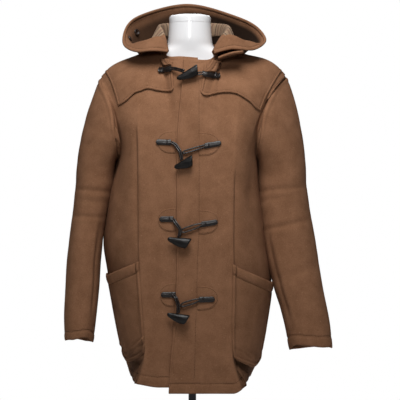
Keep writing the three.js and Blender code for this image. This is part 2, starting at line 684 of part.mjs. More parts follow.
// The hood lies down round the neck. Five lines run along it from the throat's right end
// round the back to its left end: the neck seam, the roll, the hollow, the crest and the rim.
const hoodRows = {
  roll: [
    { x: -59, y: -94, z: 1214 }, { x: -67, y: -72, z: 1249 }, { x: -77, y: -42, z: 1273 },
    { x: -84, y: -10, z: 1288 }, { x: -80, y: 40, z: 1298 }, { x: -60, y: 70, z: 1303 },
    { x: -6, y: 90, z: 1306 }, { x: 50, y: 70, z: 1303 }, { x: 74, y: 40, z: 1298 },
    { x: 93, y: -10, z: 1288 }, { x: 90, y: -42, z: 1273 }, { x: 70, y: -76, z: 1249 },
    { x: 50, y: -96, z: 1212 },
  ],
  hollow: [
    { x: -59, y: -96, z: 1216 }, { x: -76, y: -82, z: 1250 }, { x: -101, y: -54, z: 1246 },
    { x: -122, y: -8, z: 1236 }, { x: -128, y: 68, z: 1214 }, { x: -102, y: 130, z: 1186 },
    { x: -8, y: 178, z: 1150 }, { x: 88, y: 130, z: 1186 }, { x: 122, y: 68, z: 1214 },
    { x: 124, y: -8, z: 1236 }, { x: 104, y: -54, z: 1247 }, { x: 80, y: -84, z: 1252 },
    { x: 52, y: -98, z: 1214 },
  ],
  crest: [
    { x: -60, y: -98, z: 1217 }, { x: -84, y: -92, z: 1249 }, { x: -120, y: -76, z: 1243 },
    { x: -156, y: -26, z: 1243 }, { x: -158, y: 52, z: 1290 }, { x: -126, y: 108, z: 1322 },
    { x: -12, y: 182, z: 1350 }, { x: 103, y: 114, z: 1319 }, { x: 157, y: 54, z: 1284 },
    { x: 172, y: -13, z: 1247 }, { x: 138, y: -66, z: 1243 }, { x: 92, y: -94, z: 1254 },
    { x: 54, y: -100, z: 1216 },
  ],
  rim: [
    { x: -62, y: -103, z: 1211 }, { x: -102, y: -108, z: 1213 }, { x: -145, y: -85, z: 1213 },
    { x: -177, y: -38, z: 1236 }, { x: -170, y: 52, z: 1300 }, { x: -133, y: 112, z: 1334 },
    { x: -13, y: 184, z: 1371 }, { x: 112, y: 118, z: 1331 }, { x: 168, y: 57, z: 1296 },
    { x: 191, y: -8, z: 1251 }, { x: 158, y: -74, z: 1219 }, { x: 100, y: -108, z: 1217 },
    { x: 56, y: -104, z: 1207 },
  ],
};
const hoodThickness = 3;
const hoodLines = {};
for (const line of Object.keys(hoodRows)) hoodLines[line] = curveThrough(hoodRows[line]);
const neckLines = {
  right: curveThrough(neckline.right), back: curveThrough(neckline.back), left: curveThrough(neckline.left),
};
const neckStart = 0.55;

// The neck seam sits on the coat's neckline
function neckSeam(u) {
  const above = point(0, 0, seamGap + 0.6);
  if (u < 0.25) return neckLines.right.getPoint(mix(neckStart, 1, u / 0.25)).add(above);
  if (u <= 0.75) return neckLines.back.getPoint((u - 0.25) / 0.5).add(above);
  return neckLines.left.getPoint(mix(1, neckStart, (u - 0.75) / 0.25)).add(above);
}

function hood(u, v) {
  const across = [neckSeam(u)];
  for (const line of ['roll', 'hollow', 'crest', 'rim']) across.push(hoodLines[line].getPoint(u));
  return new THREE.CatmullRomCurve3(across, false, 'centripetal').getPoint(v);
}
const hoodSign = 1;
const levelEdge = (u, v, normal) => {
  if (v < 0.001) normal.z = 0;
};
const hoodGrid = { across: 36, along: 12 };
add('hood', wall(hood, { ...hoodGrid, thickness: hoodThickness, seam: levelEdge, sign: hoodSign }), melton);

// The part of the hood's lining that shows
const liningThickness = 1;
const liningLift = 1.3;
function lining(s, t) {
  const u = mix(4 / hoodGrid.across, 1 - 4 / hoodGrid.across, s);
  const v = mix(1 / hoodGrid.along, 7 / hoodGrid.along, t);
  return hood(u, v).addScaledVector(normalAt(hood, u, v), hoodSign * (liningLift + liningThickness));
}
add('hood_lining', wall(lining, { across: 28, along: 6, thickness: liningThickness, sign: hoodSign }), liningCloth);

// Patch pockets on the receding sides. Heights of the mouth and the bottom, inner edge to outer edge.
const pocketRows = {
  left: [
    { share: 0, top: 674, bottom: 440 }, { share: 0.2, top: 656, bottom: 424 }, { share: 0.5, top: 636, bottom: 411 },
    { share: 0.8, top: 622, bottom: 411 }, { share: 1, top: 622, bottom: 424 },
  ],
  right: [
    { share: 0, top: 681, bottom: 452 }, { share: 0.2, top: 668, bottom: 436 }, { share: 0.5, top: 652, bottom: 424 },
    { share: 0.8, top: 642, bottom: 422 }, { share: 1, top: 646, bottom: 432 },
  ],
};
const pocketInner = 0.51;
const pocketOuter = 0.93;
const pocketLift = { left: 1.7, right: 2 };
const mouthOpen = 15;

function pocket(side) {
  const top = track(pocketRows[side], 'share', 'top');
  const bottom = track(pocketRows[side], 'share', 'bottom');
  return (s, t) => {
    const u = mix(pocketInner, pocketOuter, s);
    const z = mix(bottom(s), top(s), t);
    const panel = side === 'left' ? leftFront : rightFront;
    // the v of this height: the columns rise evenly below the armholes
    const low = panel(u, 0).z;
    const v = (z - low) * 0.1 / (panel(u, 0.1).z - low);
    const middle = Math.sin(Math.PI * s) ** 0.7;
    const bulge = 2.5 * middle * Math.sin(Math.PI * t) + mouthOpen * middle * t ** 3;
    return lifted(side, u, v, pocketLift[side] + clothThickness + bulge);
  };
}
add('pocket_left', wall(pocket('left'), { across: 9, along: 9, sign: 1 }), melton);
add('pocket_right', wall(pocket('right'), { across: 9, along: 9, sign: -1 }), melton);

// Half-round cloth patches behind the lower three toggle sets
const patchGap = 0.35;
const patchRows = [
  { name: '2_left', from: 18, to: 68, z: 975, high: 58 }, { name: '2_right', from: -42, to: -86, z: 980, high: 56 },
  { name: '3_left', from: 18, to: 66, z: 780, high: 60 }, { name: '3_right', from: -42, to: -85, z: 785, high: 58 },
  { name: '4_left', from: 15, to: 64, z: 590, high: 60 }, { name: '4_right', from: -43, to: -80, z: 597, high: 58 },
];
for (const row of patchRows) {
  const side = row.from > 0 ? 'left' : 'right';
  const patch = (s, t) => {
    const high = row.high * Math.sqrt(1 - Math.min(0.94, s ** 3));
    return onFront(mix(row.from, row.to, s), row.z + (t - 0.5) * high, patchGap + patchThickness, side);
  };
  const sign = side === 'left' ? 1 : -1;
  add(`patch_${row.name}`, wall(patch, { across: 4, along: 3, thickness: patchThickness, sign }), melton);
}

// Leather straps that hold the cords, each from its sewn end to the end that the cords leave
const strapRows = [
  { name: '1_right', from: { x: -88, z: 1160 }, to: { x: -57, z: 1165 }, under: yokeLift + yokeThickness },
  { name: '1_left', from: { x: 71, z: 1145 }, to: { x: 26, z: 1151 }, under: yokeLift + yokeThickness + 1.1 },
  { name: '2_right', from: { x: -91, z: 980 }, to: { x: -53, z: 979 }, under: patchGap + patchThickness },
  { name: '2_left', from: { x: 73, z: 977 }, to: { x: 32, z: 970 }, under: patchGap + patchThickness },
  { name: '3_right', from: { x: -82, z: 787 }, to: { x: -47, z: 787 }, under: patchGap + patchThickness },
  { name: '3_left', from: { x: 64, z: 780 }, to: { x: 24, z: 774 }, under: patchGap + patchThickness },
  { name: '4_right', from: { x: -78, z: 598 }, to: { x: -41, z: 598 }, under: patchGap + patchThickness },
  { name: '4_left', from: { x: 57, z: 587 }, to: { x: 18, z: 586 }, under: patchGap + patchThickness },
];
for (const row of strapRows) {
  const side = row.from.x > 0 ? 'left' : 'right';
  const strap = (s, t) => {
    const half = strapWidth / 2 * (s < 0.01 ? 0.6 : 1);
    const x = mix(row.from.x, row.to.x, s);
    const z = mix(row.from.z, row.to.z, s) + (2 * t - 1) * half;
    return onFront(x, z, row.under + 0.5 + strapThickness, side);
  };
  const sign = side === 'left' ? -1 : 1;
  add(`strap_${row.name}`, wall(strap, { across: 4, along: 1, thickness: strapThickness, sign }), leather);
}

// Toggles: a horn tip, slim at its left end and cut slanting at its thick end
const toggleRows = [
  { name: '1', slim: { x: -30, z: 1137 }, thick: { x: 16, z: 1157 }, radius: 13, slant: 0.35, lift: 20 },
  { name: '2', slim: { x: -44, z: 916 }, thick: { x: 0, z: 934 }, radius: 13, slant: 0.35, lift: 15 },
  { name: '3', slim: { x: -61, z: 739 }, thick: { x: -9, z: 727 }, radius: 13.5, slant: 0.35, lift: 15 },
  { name: '4', slim: { x: -62, z: 551 }, thick: { x: -12, z: 537 }, radius: 13, slant: 0.3, lift: 15 },
];
const toggleFlatness = 0.62;
const toggleProfile = [
  { along: 0, radius: 0 }, { along: 0.02, radius: 0.26 }, { along: 0.08, radius: 0.4 }, { along: 0.35, radius: 0.68 },
  { along: 0.7, radius: 0.93 }, { along: 0.95, radius: 1 }, { along: 1, radius: 0.86 }, { along: 1, radius: 0 },
];
const toggleWidth = track(toggleProfile, 'along', 'radius');
const toggleEnds = (row) => [
  onFront(row.slim.x, row.slim.z, row.lift), onFront(row.thick.x, row.thick.z, row.lift),
];
const acrossAxis = (axis) => point(-axis.z, 0, axis.x).normalize();

function toggle(row) {
  const [start, end] = toggleEnds(row);
  const length = start.distanceTo(end);
  const profile = toggleProfile.map((p) => new THREE.Vector2(p.radius * row.radius, p.along * length));
  const geometry = plain(new THREE.LatheGeometry(profile, 12));
  const place = geometry.attributes.position;
  for (let i = 0; i < place.count; i += 1) {
    const along = place.getY(i) / length;
    // the thick end's cut leans, so its upper side is the longer one
    const lean = row.slant * along ** 3 * place.getX(i);
    place.setXYZ(i, place.getX(i), place.getY(i) + lean, place.getZ(i) * toggleFlatness);
  }
  const axis = end.clone().sub(start).normalize();
  const upward = acrossAxis(axis);
  const outward = upward.clone().cross(axis).normalize();
  geometry.applyMatrix4(new THREE.Matrix4().makeBasis(upward, axis, outward).setPosition(start));
  return geometry;
}
for (const row of toggleRows) add(`toggle_${row.name}`, toggle(row), horn);

// Where a cord takes hold of its toggle: just above the upper side, at a share of its length
function toggleHold(row, share, gap) {
  const [start, end] = toggleEnds(row);
  const upward = acrossAxis(end.clone().sub(start));
  return start.lerp(end, share).addScaledVector(upward, row.radius * toggleWidth(share) + gap);
}

// Cords: a single cord from each right strap to its toggle, and a double one from each left strap
const cordRows = [
  { name: '1', hold: 0.42, gap: 1.4, points: [{ x: -56.2, z: 1165, lift: 7 }, { x: -42, z: 1163.5, lift: 10 }] },
  { name: '2', hold: 0.5, gap: 0.85, points: [
    { x: -51.8, z: 979, lift: 3.7 }, { x: -43, z: 974, lift: 6 }, { x: -29, z: 955, lift: 9 }] },
  { name: '3', hold: 0.5, gap: 0.85, points: [
    { x: -45.6, z: 787, lift: 3.7 }, { x: -38, z: 778, lift: 6 }, { x: -34, z: 760, lift: 10 }] },
  { name: '4', hold: 0.5, gap: 0.85, points: [
    { x: -45, z: 598, lift: 6.1 }, { x: -39, z: 590, lift: 6 }, { x: -36, z: 571, lift: 10 }] },
];
const loopRows = [
  { name: 'loop_1', from: { x: 25, z: 1151 }, to: { x: -4, z: 1147 }, spread: 5, lift: 8 },
  { name: 'loop_2', from: { x: 31, z: 970 }, to: { x: -24, z: 953 }, spread: 5, lift: 4.6 },
  { name: 'loop_3', from: { x: 23, z: 774 }, to: { x: -27, z: 757 }, spread: 5, lift: 4.6 },
  { name: 'loop_4', from: { x: 17, z: 586 }, to: { x: -28, z: 572 }, spread: 5, lift: 4.6 },
];

function cord(points) {
  const path = new THREE.CatmullRomCurve3(points, false, 'centripetal');
  const circle = new THREE.Shape().absarc(0, 0, cordRadius, 0, 2 * Math.PI);
  const settings = { steps: 2 * (points.length - 1), curveSegments: 3, extrudePath: path, bevelEnabled: false };
  return plain(new THREE.ExtrudeGeometry(circle, settings));
}
for (const row of cordRows) {
  const held = toggleHold(toggleRows.find((other) => other.name === row.name), row.hold, row.gap);
  add(`cord_${row.name}`, cord([...row.points.map((p) => onFront(p.x, p.z, p.lift)), held]), leather);
}
for (const row of loopRows) {
  const at = (share, aside) => {
    const x = mix(row.from.x, row.to.x, share);
    const z = mix(row.from.z, row.to.z, share) + aside;
    return onFront(x, z, row.lift);
  };
  const spread = row.spread / 2;
  const rows = [
    at(0, spread * 0.8), at(0.5, spread), at(0.88, spread), at(1, 0),
    at(0.88, -spread), at(0.5, -spread), at(0, -spread * 0.8),
  ];
  add(row.name, cord(rows), leather);
}

// Neck facings: a band along the neckline's V on each side, over the yoke's inner corner
const neckBandRows = {
  left: [{ x: 59, z: 1187 }, { x: 52, z: 1172 }, { x: 42, z: 1158 }],
  right: [{ x: -66, z: 1192 }, { x: -63, z: 1184 }, { x: -58, z: 1176 }],
};
const neckBandWidth = { left: 24, right: 16 };
const neckBandThickness = 2.5;
const neckBandLift = { left: 2.8, right: 1.1 };
for (const side of ['left', 'right']) {
  const line = curveThrough(neckBandRows[side].map((row) => ({ ...row, y: 0 })));
  const out = side === 'left' ? 1 : -1;
  const band = (s, t) => {
    const middle = line.getPoint(s);
    const x = middle.x + out * (t - 0.5) * neckBandWidth[side];
    return onFront(x, middle.z, yokeLift + yokeThickness + neckBandLift[side] + neckBandThickness, side);
  };
  const turn = side === 'left' ? 1 : -1;
  add(`neck_band_${side}`, wall(band, { across: 4, along: 3, thickness: neckBandThickness, sign: turn }), melton);
}

// The throat tab sticks out under the hood's left end
const tabRows = [{ x: 66, z: 1199 }, { x: 82, z: 1204 }, { x: 104, z: 1211 }, { x: 129, z: 1216 }];
const tabThickness = 5;
const tabFront = -122;
const tabDepth = 26.5;
const tabLine = curveThrough(tabRows.map((row) => ({ ...row, y: tabFront })));
const tab = (s, t) => tabLine.getPoint(s).add(point(0, t * tabDepth, 0));
add('throat_tab', wall(tab, { across: 8, along: 2, thickness: tabThickness, sign: 1 }), melton);

// Two buttons inside the hood, on its right side
const buttonRows = [{ name: '1', u: 0.38, v: 0.71, lift: 0.4 }, { name: '2', u: 0.3, v: 0.72, lift: 1.9 }];
const buttonRadius = 8.5;
const buttonThickness = 3;
for (const row of buttonRows) {
  const normal = normalAt(hood, row.u, row.v).multiplyScalar(hoodSign);
  const geometry = plain(new THREE.CylinderGeometry(buttonRadius, buttonRadius, buttonThickness, 14));
  const turn = new THREE.Quaternion().setFromUnitVectors(point(0, 1, 0), normal);
  geometry.applyQuaternion(turn);
  const seat = hood(row.u, row.v).addScaledVector(normal, row.lift + buttonThickness / 2);
  geometry.translate(seat.x, seat.y, seat.z);
  add(`hood_button_${row.name}`, geometry, buttonHorn);
}

export default group;
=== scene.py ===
import math
import bpy
import numpy as np
from mathutils import Matrix, Vector


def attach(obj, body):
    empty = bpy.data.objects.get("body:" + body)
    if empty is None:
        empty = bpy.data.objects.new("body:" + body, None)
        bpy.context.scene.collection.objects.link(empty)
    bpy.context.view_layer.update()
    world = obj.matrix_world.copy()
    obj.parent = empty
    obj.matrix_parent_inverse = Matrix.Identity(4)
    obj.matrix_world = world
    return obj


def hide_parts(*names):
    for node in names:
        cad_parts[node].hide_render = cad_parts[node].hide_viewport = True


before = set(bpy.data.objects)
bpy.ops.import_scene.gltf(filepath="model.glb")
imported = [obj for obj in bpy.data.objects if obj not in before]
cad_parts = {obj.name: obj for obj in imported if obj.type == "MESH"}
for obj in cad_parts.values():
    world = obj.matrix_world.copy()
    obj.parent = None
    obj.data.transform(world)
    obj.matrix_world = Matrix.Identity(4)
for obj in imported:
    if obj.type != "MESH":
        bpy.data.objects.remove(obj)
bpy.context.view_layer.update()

# A duffle coat on a limbless torso form. Helpers work in millimetres, meshes are in metres.
mm = 0.001
underarmHeight = 945.0


# small helpers
def mix(a, b, t):
    return a + (b - a) * t


def smooth(t):
    t = np.clip(t, 0.0, 1.0)
    return t * t * (3 - 2 * t)


def bump(distance, width):
    return np.exp(-(distance / width) ** 2)


def unit(ways):
    return ways / np.maximum(np.linalg.norm(ways, axis=-1, keepdims=True), 1e-9)


def named(columns, rows):
    # a table as one array for each named column
    names = columns.split()
    return {name: np.array([row[i] for row in rows], float) for i, name in enumerate(names)}


def track(table, key, column):
    # a column as a smooth function of another one
    at, value = table[key], table[column]
    last = len(at) - 1

    def read(where):
        where = np.clip(np.asarray(where, float), at[0], at[-1])
        i = np.clip(np.searchsorted(at, where, side="right") - 1, 0, last - 1)
        before, after = np.maximum(i - 1, 0), np.minimum(i + 2, last)
        width = at[i + 1] - at[i]
        t = (where - at[i]) / width
        slopeIn = (value[i + 1] - value[before]) / (at[i + 1] - at[before]) * width
        slopeOut = (value[after] - value[i]) / (at[after] - at[i]) * width
        square, cube = t * t, t ** 3
        return ((2 * cube - 3 * square + 1) * value[i] + (cube - 2 * square + t) * slopeIn
                + (3 * square - 2 * cube) * value[i + 1] + (cube - square) * slopeOut)
    return read


def centripetal(a, b, c, d, w):
    # one stretch of a smooth curve, from b to c, that doesn't overshoot where points lie close
    def gap(p, q):
        return np.sum((p - q) ** 2, axis=-1, keepdims=True) ** 0.25
    middle = gap(b, c)
    middle = np.where(middle < 1e-4, 1.0, middle)
    first, last = gap(a, b), gap(c, d)
    first = np.where(first < 1e-4, middle, first)
    last = np.where(last < 1e-4, middle, last)
    slopeIn = ((b - a) / first - (c - a) / (first + middle) + (c - b) / middle) * middle
    slopeOut = ((c - b) / middle - (d - b) / (middle + last) + (d - c) / last) * middle
    w = w[..., None]
    return b + w * (slopeIn + w * ((-3 * b + 3 * c - 2 * slopeIn - slopeOut)
                                   + w * (2 * b - 2 * c + slopeIn + slopeOut)))


def curveThrough(points):
    points = np.array(points, float)
    padded = np.vstack([2 * points[0] - points[1], points, 2 * points[-1] - points[-2]])
    last = len(points) - 1

    def at(t):
        t = np.atleast_1d(np.asarray(t, float))
        i = np.clip(np.floor(t * last).astype(int), 0, last - 1)
        return centripetal(padded[i], padded[i + 1], padded[i + 2], padded[i + 3], t * last - i)
    return at


def bow(start, leaving, end, arriving, t):
    # a curve from start to end that leaves and arrives along the given ways
    t = t[..., None]
    square, cube = t * t, t ** 3
    return ((2 * cube - 3 * square + 1) * start + (cube - 2 * square + t) * leaving
            + (3 * square - 2 * cube) * end + (cube - square) * arriving)


def xAlongZ(rows):
    # x as a smooth function of height
    return track(named("z x", rows), "z", "x")


def lengthOf(points):
    return float(np.linalg.norm(np.diff(points, axis=0), axis=1).sum())


def runAlong(points):
    # how far along its line each point lies
    return np.concatenate([[0], np.cumsum(np.linalg.norm(np.diff(points, axis=0), axis=1))])


def vectors(x, y, z):
    x, y, z = np.broadcast_arrays(x, y, z)
    return np.stack([x, y, z], axis=-1).astype(float)


def spaced(*parts):
    # shares from 0 to 1, closer together where a part has more of them
    return np.unique(np.concatenate([np.linspace(*part) for part in parts]))


def gridOf(surface, across, along, ring=False):
    # evaluates a surface on rows of v and columns of u
    u = np.arange(across if ring else across + 1) / across if np.isscalar(across) else across
    v = np.arange(along + 1) / along if np.isscalar(along) else along
    uu, vv = np.meshgrid(u, v)
    return surface(uu.ravel(), vv.ravel()).reshape(len(v), len(u), 3)


def gridNormals(points, sign=1, ring=False):
    if ring:
        alongU = np.roll(points, -1, axis=1) - np.roll(points, 1, axis=1)
    else:
        alongU = np.gradient(points, axis=1)
    alongV = np.gradient(points, axis=0)
    return unit(np.cross(alongU, alongV)) * sign


def edgeDistances(grid):
    # how far each point of a grid lies from its four edges
    alongU = np.linalg.norm(np.diff(grid, axis=1), axis=-1)
    alongV = np.linalg.norm(np.diff(grid, axis=0), axis=-1)
    start = np.pad(alongU.cumsum(axis=1), ((0, 0), (1, 0)))
    low = np.pad(alongV.cumsum(axis=0), ((1, 0), (0, 0)))
    return {"start": start, "end": start[:, -1:] - start, "low": low, "high": low[-1:] - low}


def nearest(away, edges):
    return np.minimum.reduce([away[edge] for edge in edges])


def hemmed(distance, inset, puff=0.8, groove=0.9):
    # a turned edge: it swells outside its stitching, and the stitching sinks in
    swell = np.sin(math.pi * np.clip(distance / inset, 0, 1)) ** 0.7
    return puff * swell * (distance < inset) - groove * bump(distance - inset, 1.9)


def rowsFrom(grid, distance, first=0, last=None, fromHigh=True):
    # the rows and columns of the points that lie one distance from a grid's high or low edge
    steps = np.linalg.norm(np.diff(grid, axis=0), axis=-1)
    run = (steps[::-1] if fromHigh else steps).cumsum(axis=0)
    columns = np.arange(grid.shape[1])[first:last]
    count = 1 + np.array([np.searchsorted(run[:, i], distance) for i in columns])
    return (len(grid) - 1 - count if fromHigh else count), columns


def sample(grid, u, v, us=None, vs=None):
    # reads a grid of points or normals between its rows and columns
    rows, columns = grid.shape[0] - 1, grid.shape[1] - 1
    u, v = np.clip(u, 0, 1), np.clip(v, 0, 1)
    x = u * columns if us is None else np.interp(u, us, np.arange(columns + 1))
    y = v * rows if vs is None else np.interp(v, vs, np.arange(rows + 1))
    i = np.clip(np.floor(x).astype(int), 0, columns - 1)
    j = np.clip(np.floor(y).astype(int), 0, rows - 1)
    a, b = (x - i)[..., None], (y - j)[..., None]
    return ((1 - a) * (1 - b) * grid[j, i] + a * (1 - b) * grid[j, i + 1]
            + (1 - a) * b * grid[j + 1, i] + a * b * grid[j + 1, i + 1])


def creaseField(across, height, creases):
    # soft troughs and ridges along drawn lines: depth, width, then the line's points
    total = np.zeros_like(across)
    for depth, width, line in creases:
        line = np.array(line, float)
        steps = np.linalg.norm(np.diff(line, axis=0), axis=1)
        best, share, begun = np.full(across.shape, 1e9), np.zeros_like(across), 0.0
        for k, step in enumerate(steps):
            a, b = line[k], line[k + 1]
            along = (across - a[0]) * (b - a)[0] + (height - a[1]) * (b - a)[1]
            t = np.clip(along / step ** 2, 0, 1)
            away = np.hypot(across - mix(a[0], b[0], t), height - mix(a[1], b[1], t))
            share = np.where(away < best, (begun + t * step) / steps.sum(), share)
            best = np.minimum(best, away)
            begun += step
        fade = smooth(share / 0.25) * smooth((1 - share) / 0.25)
        total += depth * bump(best, width) * fade
    return total


# every finished piece by name, and the flat size of every cloth
pieces, cuts = {}, {}


def makePiece(name, points, faces, material, node=None, uv=None, shade=None):
    # points in millimetres; every piece rides on the one rigid body
    mesh = bpy.data.meshes.new(name)
    mesh.from_pydata((np.asarray(points) * mm).tolist(), [], faces)
    if uv is not None:
        layer = mesh.uv_layers.new(name="cloth")
        loops = np.zeros(len(mesh.loops), int)
        mesh.loops.foreach_get("vertex_index", loops)
        layer.data.foreach_set("uv", np.asarray(uv)[loops].ravel())
    # painted shade: a per-point factor that darkens the cloth's colour, 1 where no shade is painted
    depth = mesh.attributes.new("shade", "FLOAT", "POINT")
    depth.data.foreach_set("value", np.ones(len(mesh.vertices)) if shade is None else shade)
    mesh.polygons.foreach_set("use_smooth", [True] * len(mesh.polygons))
    mesh.materials.append(material)
    mesh.update()
    piece = bpy.data.objects.new(name, mesh)
    bpy.context.collection.objects.link(piece)
    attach(piece, "root")
    if node:
        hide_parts(*([node] if isinstance(node, str) else node))
    pieces[name] = piece
    return piece


def ringFaces(rings, sides):
    # quads between rings of points, then a fan at each end, whose middle points come last
    faces = []
    for j in range(rings - 1):
        for i in range(sides):
            n = (i + 1) % sides
            faces.append((j * sides + i, j * sides + n, (j + 1) * sides + n, (j + 1) * sides + i))
    end, last = rings * sides, (rings - 1) * sides
    for i in range(sides):
        n = (i + 1) % sides
        faces.append((end, n, i))
        faces.append((end + 1, last + i, last + n))
    return faces


def turnedTowards(points, faces, probe, way):
    # turns all faces over where one of them looks against the given way
    corner = points[list(faces[probe])]
    if np.dot(np.cross(corner[1] - corner[0], corner[2] - corner[0]), way) < 0:
        return [tuple(reversed(face)) for face in faces]
    return faces


def shell(name, outer, normals, thickness, material, node=None, ring=False, rim=0.3,
          shade=None):
    # a closed wall of cloth with a softly rounded edge; its thickness may change over the grid
    rows, columns = outer.shape[:2]
    if np.ndim(thickness):
        inner = outer - normals * thickness[..., None]
        thickness = float(np.min(thickness))
    else:
        inner = outer - normals * thickness
    middle = (outer + inner) / 2
    points = [outer.reshape(-1, 3), inner.reshape(-1, 3)]
    shift = rows * columns
    faces = []
    steps = columns if ring else columns - 1
    index = np.arange(shift).reshape(rows, columns)
    for j in range(rows - 1):
        for i in range(steps):
            n = (i + 1) % columns
            a, b, c, d = int(index[j, i]), int(index[j, n]), int(index[j + 1, n]), int(index[j + 1, i])
            faces.append((a, b, c, d))
            faces.append((shift + a, shift + d, shift + c, shift + b))

    def edgeRow(ids, towards):
        # the middle line of an edge, moved outwards
        where = middle.reshape(-1, 3)[ids]
        inside = middle.reshape(-1, 3)[towards]
        points.append(where + unit(where - inside) * thickness * rim)
        start = sum(len(p) for p in points[:-1])
        return list(range(start, start + len(ids)))

    def band(ids, mids, flip):
        for i in range(len(ids)):
            n = (i + 1) % len(ids)
            a, b = int(ids[i]), int(ids[n])
            up = (a, mids[i], mids[n], b)
            down = (mids[i], shift + a, shift + b, mids[n])
            for face in (up, down):
                faces.append(tuple(reversed(face)) if flip else face)

    low, high = index[0], index[-1]
    if ring:
        band(low, edgeRow(low, index[1]), False)
        band(high, edgeRow(high, index[-2]), True)
        edgeIds = np.concatenate([low, high])
    else:
        edgeIds = np.concatenate([low, index[1:, -1], high[::-1][1:], index[::-1, 0][1:-1]])
        j, i = np.divmod(edgeIds, columns)
        inward = index[np.clip(j, 1, rows - 2), np.clip(i, 1, columns - 2)]
        band(edgeIds, edgeRow(edgeIds, inward), False)
    points = np.vstack(points)
    # one face at the middle shows whether the faces point outwards
    probe = 2 * ((rows // 2) * steps + columns // 2)
    faces = turnedTowards(points, faces, probe, normals[rows // 2, columns // 2])
    # the cloth's own coordinates, in metres along each way
    spanU, spanV = runAlong(outer[rows // 2]), runAlong(outer[:, columns // 2])
    uu, vv = np.meshgrid(spanU * mm, spanV * mm)
    flat = np.stack([uu.ravel(), vv.ravel()], axis=-1)
    uv = np.vstack([flat, flat, flat[edgeIds]])
    # painted shade lies on the outer face only; the inner face and the edge keep their full colour
    if shade is not None:
        shade = np.concatenate([shade.ravel(), np.ones(shift), shade.ravel()[edgeIds]])
    piece = makePiece(name, points, faces, material, node, uv, shade)
    closing = 1 if ring else 0
    across = max(lengthOf(np.vstack([row, row[:closing]])) for row in outer)
    along = max(lengthOf(outer[:, i]) for i in range(columns))
    area = sum(face.area for face in piece.data.polygons) / 2
    cuts[name] = (across * mm, along * mm, min(area, across * along * mm * mm))
    return piece


def lathe(name, profile, sides, centre, material, node):
    # a turned piece: profile points (radius, height) with both ends on the axis
    points, faces = [], []
    rings = profile[1:-1]
    points.append((centre[0], centre[1], profile[0][1]))
    for radius, height in rings:
        for i in range(sides):
            a = 2 * math.pi * i / sides
            points.append((centre[0] + radius * math.cos(a), centre[1] + radius * math.sin(a), height))
    points.append((centre[0], centre[1], profile[-1][1]))
    end = len(points) - 1
    for i in range(sides):
        n = (i + 1) % sides
        faces.append((0, 1 + n, 1 + i))
        for j in range(len(rings) - 1):
            a, b = 1 + j * sides, 1 + (j + 1) * sides
            faces.append((a + i, a + n, b + n, b + i))
        top = 1 + (len(rings) - 1) * sides
        faces.append((top + i, top + n, end))
    return makePiece(name, points, faces, material, node, None)


# materials
def nodesFor(name):
    material = bpy.data.materials.new(name)
    material.use_nodes = True
    tree = material.node_tree
    return material, tree, tree.nodes["Principled BSDF"]


def addNode(tree, kind, inputs=None, **settings):
    node = tree.nodes.new(kind)
    for key, value in settings.items():
        setattr(node, key, value)
    for key, value in (inputs or {}).items():
        node.inputs[key].default_value = value
    return node


def napGroup():
    # felted wool: cloudy shade, short fibres and small pills
    tree = bpy.data.node_groups.new("woolNap", "ShaderNodeTree")
    face = tree.interface
    face.new_socket("Vector", in_out="INPUT", socket_type="NodeSocketVector")
    sizes = (("Cloud Size", 14.0), ("Fibre Size", 900.0), ("Pill Size", 130.0), ("Pill Amount", 0.35))
    for label, value in sizes:
        socket = face.new_socket(label, in_out="INPUT", socket_type="NodeSocketFloat")
        socket.default_value = value
    for label in ("Shade", "Pills", "Height"):
        face.new_socket(label, in_out="OUTPUT", socket_type="NodeSocketFloat")
    start = tree.nodes.new("NodeGroupInput")
    finish = tree.nodes.new("NodeGroupOutput")
    link = tree.links.new
    cloud = addNode(tree, "ShaderNodeTexNoise", {"Detail": 4.0, "Roughness": 0.6})
    fibre = addNode(tree, "ShaderNodeTexNoise", {"Detail": 3.0, "Roughness": 0.75, "Distortion": 0.6})
    pill = addNode(tree, "ShaderNodeTexVoronoi", {"Randomness": 1.0})
    for texture, label in ((cloud, "Cloud Size"), (fibre, "Fibre Size"), (pill, "Pill Size")):
        link(start.outputs["Vector"], texture.inputs["Vector"])
        link(start.outputs[label], texture.inputs["Scale"])
    spot = addNode(tree, "ShaderNodeMapRange",
                   {"From Min": 0.05, "From Max": 0.3, "To Min": 1.0, "To Max": 0.0})
    link(pill.outputs["Distance"], spot.inputs["Value"])
    pick = addNode(tree, "ShaderNodeSeparateColor")
    link(pill.outputs["Color"], pick.inputs["Color"])
    rare = addNode(tree, "ShaderNodeMath", operation="LESS_THAN")
    link(pick.outputs["Red"], rare.inputs[0])
    link(start.outputs["Pill Amount"], rare.inputs[1])
    chosen = addNode(tree, "ShaderNodeMath", operation="MULTIPLY")
    link(spot.outputs["Result"], chosen.inputs[0])
    link(rare.outputs["Value"], chosen.inputs[1])
    shade = addNode(tree, "ShaderNodeMath", operation="MULTIPLY_ADD")
    shade.inputs[1].default_value = 0.55  # the fibres' share of the shade
    link(fibre.outputs["Fac"], shade.inputs[0])
    half = addNode(tree, "ShaderNodeMath", operation="MULTIPLY")
    half.inputs[1].default_value = 0.45  # and the clouds' share
    link(cloud.outputs["Fac"], half.inputs[0])
    link(half.outputs["Value"], shade.inputs[2])
    height = addNode(tree, "ShaderNodeMath", operation="MULTIPLY_ADD")
    height.inputs[1].default_value = 0.6  # how far the pills stand up from the fibres
    link(chosen.outputs["Value"], height.inputs[0])
    link(fibre.outputs["Fac"], height.inputs[2])
    link(shade.outputs["Value"], finish.inputs["Shade"])
    link(chosen.outputs["Value"], finish.inputs["Pills"])
    link(height.outputs["Value"], finish.inputs["Height"])
    return tree


wool = napGroup()


